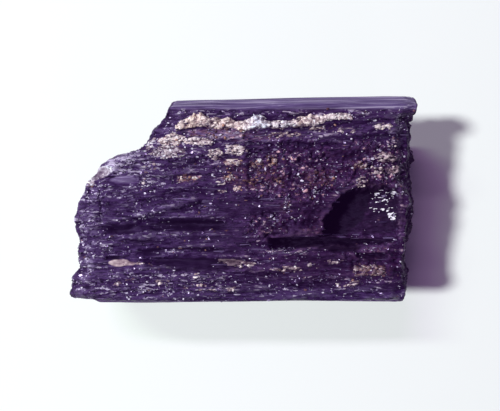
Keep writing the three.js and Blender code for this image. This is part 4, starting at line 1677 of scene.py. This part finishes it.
# mica flakes by their random tint: dark flakes, and pale ones that are mica and painted glints
MICA_AND_GLINT_STOPS = (
    (0.0, (0.018, 0.008, 0.034)), (0.5, (0.06, 0.035, 0.10)), (0.8, (0.23, 0.175, 0.32)),
    (1.0, (0.82, 0.74, 0.95)),
)
SPLINTER_STOPS = (
    (0.0, (0.011, 0.0035, 0.024)), (0.6, (0.040, 0.019, 0.076)), (1.0, (0.125, 0.085, 0.19)),
)


def main() -> None:
    """Builds the crystal, the minerals on it and the studio, and reports each piece."""
    crystal = Crystal()
    shell = crystal.shell()
    last = len(shell.points)
    foot = list(range(last - crystal.rim, last))[::-1]
    body = add_piece("schorl_crystal", SchorlFinish().build(), shell, [foot], True)
    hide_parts(NODE)

    marks = shell.marks
    x, y = shell.points[:, 0], shell.points[:, 1]
    from_left, from_right = x - traced(crystal.left_break, y), traced(crystal.right_break, y) - x
    inner = ease(np.minimum(from_left, from_right), 2.0, 3.5)
    top = (np.arange(last) < crystal.face).astype(float)
    rough, bright = 1.0 - marks["smooth"], 1.0 - marks["dark"]
    plain = top * rough * ease(y, 15.2, 14.6) * (1.0 - 0.9 * marks["feldspar"])
    flakes = plain * (0.25 + 5.0 * marks["mica"] + 0.6 * marks["speck"]) * bright**2
    beds = (
        (
            GrainBed("feldspar_grains", "feldspar", 1300, 71, (0.3, 1.1), (0.22, 0.75), 0.6),
            marks["feldspar"] ** 2 * top * (1.0 - 0.97 * marks["smooth"]),
            GrainFinish("feldspar", CREAM_STOPS, 0.62),
        ), (
            GrainBed("rusty_grains", "feldspar", 420, 72, (0.2, 0.9), (0.18, 0.6)),
            top * (marks["rust"] ** 2 + 0.01) * rough * bright,
            GrainFinish("iron_stain", RUST_STOPS, 0.6),
        ), (
            FlakeBed("mica_flakes", "mica", 6000, 73, (0.13, 0.42)),
            flakes + 0.03 * (1.0 - marks["prism"]) * (1.0 - top),
            GrainFinish("mica", MICA_AND_GLINT_STOPS, 0.22, 1.58),
        ), (
            SplinterBed("schorl_splinters", "schorl", 1000, 74, (0.5, 3.6), (0.12, 0.42)),
            plain * inner * (1.0 - 0.8 * marks["crumble"]) * bright**2,
            GrainFinish("schorl_sliver", SPLINTER_STOPS, 0.3, 1.64),
        ),
    )
    for bed, weights, finish in beds:
        bed.build(shell, weights, finish.build())
    Studio().build()
    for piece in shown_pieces():
        LOG.info("%s: %d faces", piece.name, len(piece.data.polygons))


if __name__ == "__main__":
    logging.basicConfig(level=logging.INFO, format="%(message)s")
    main()
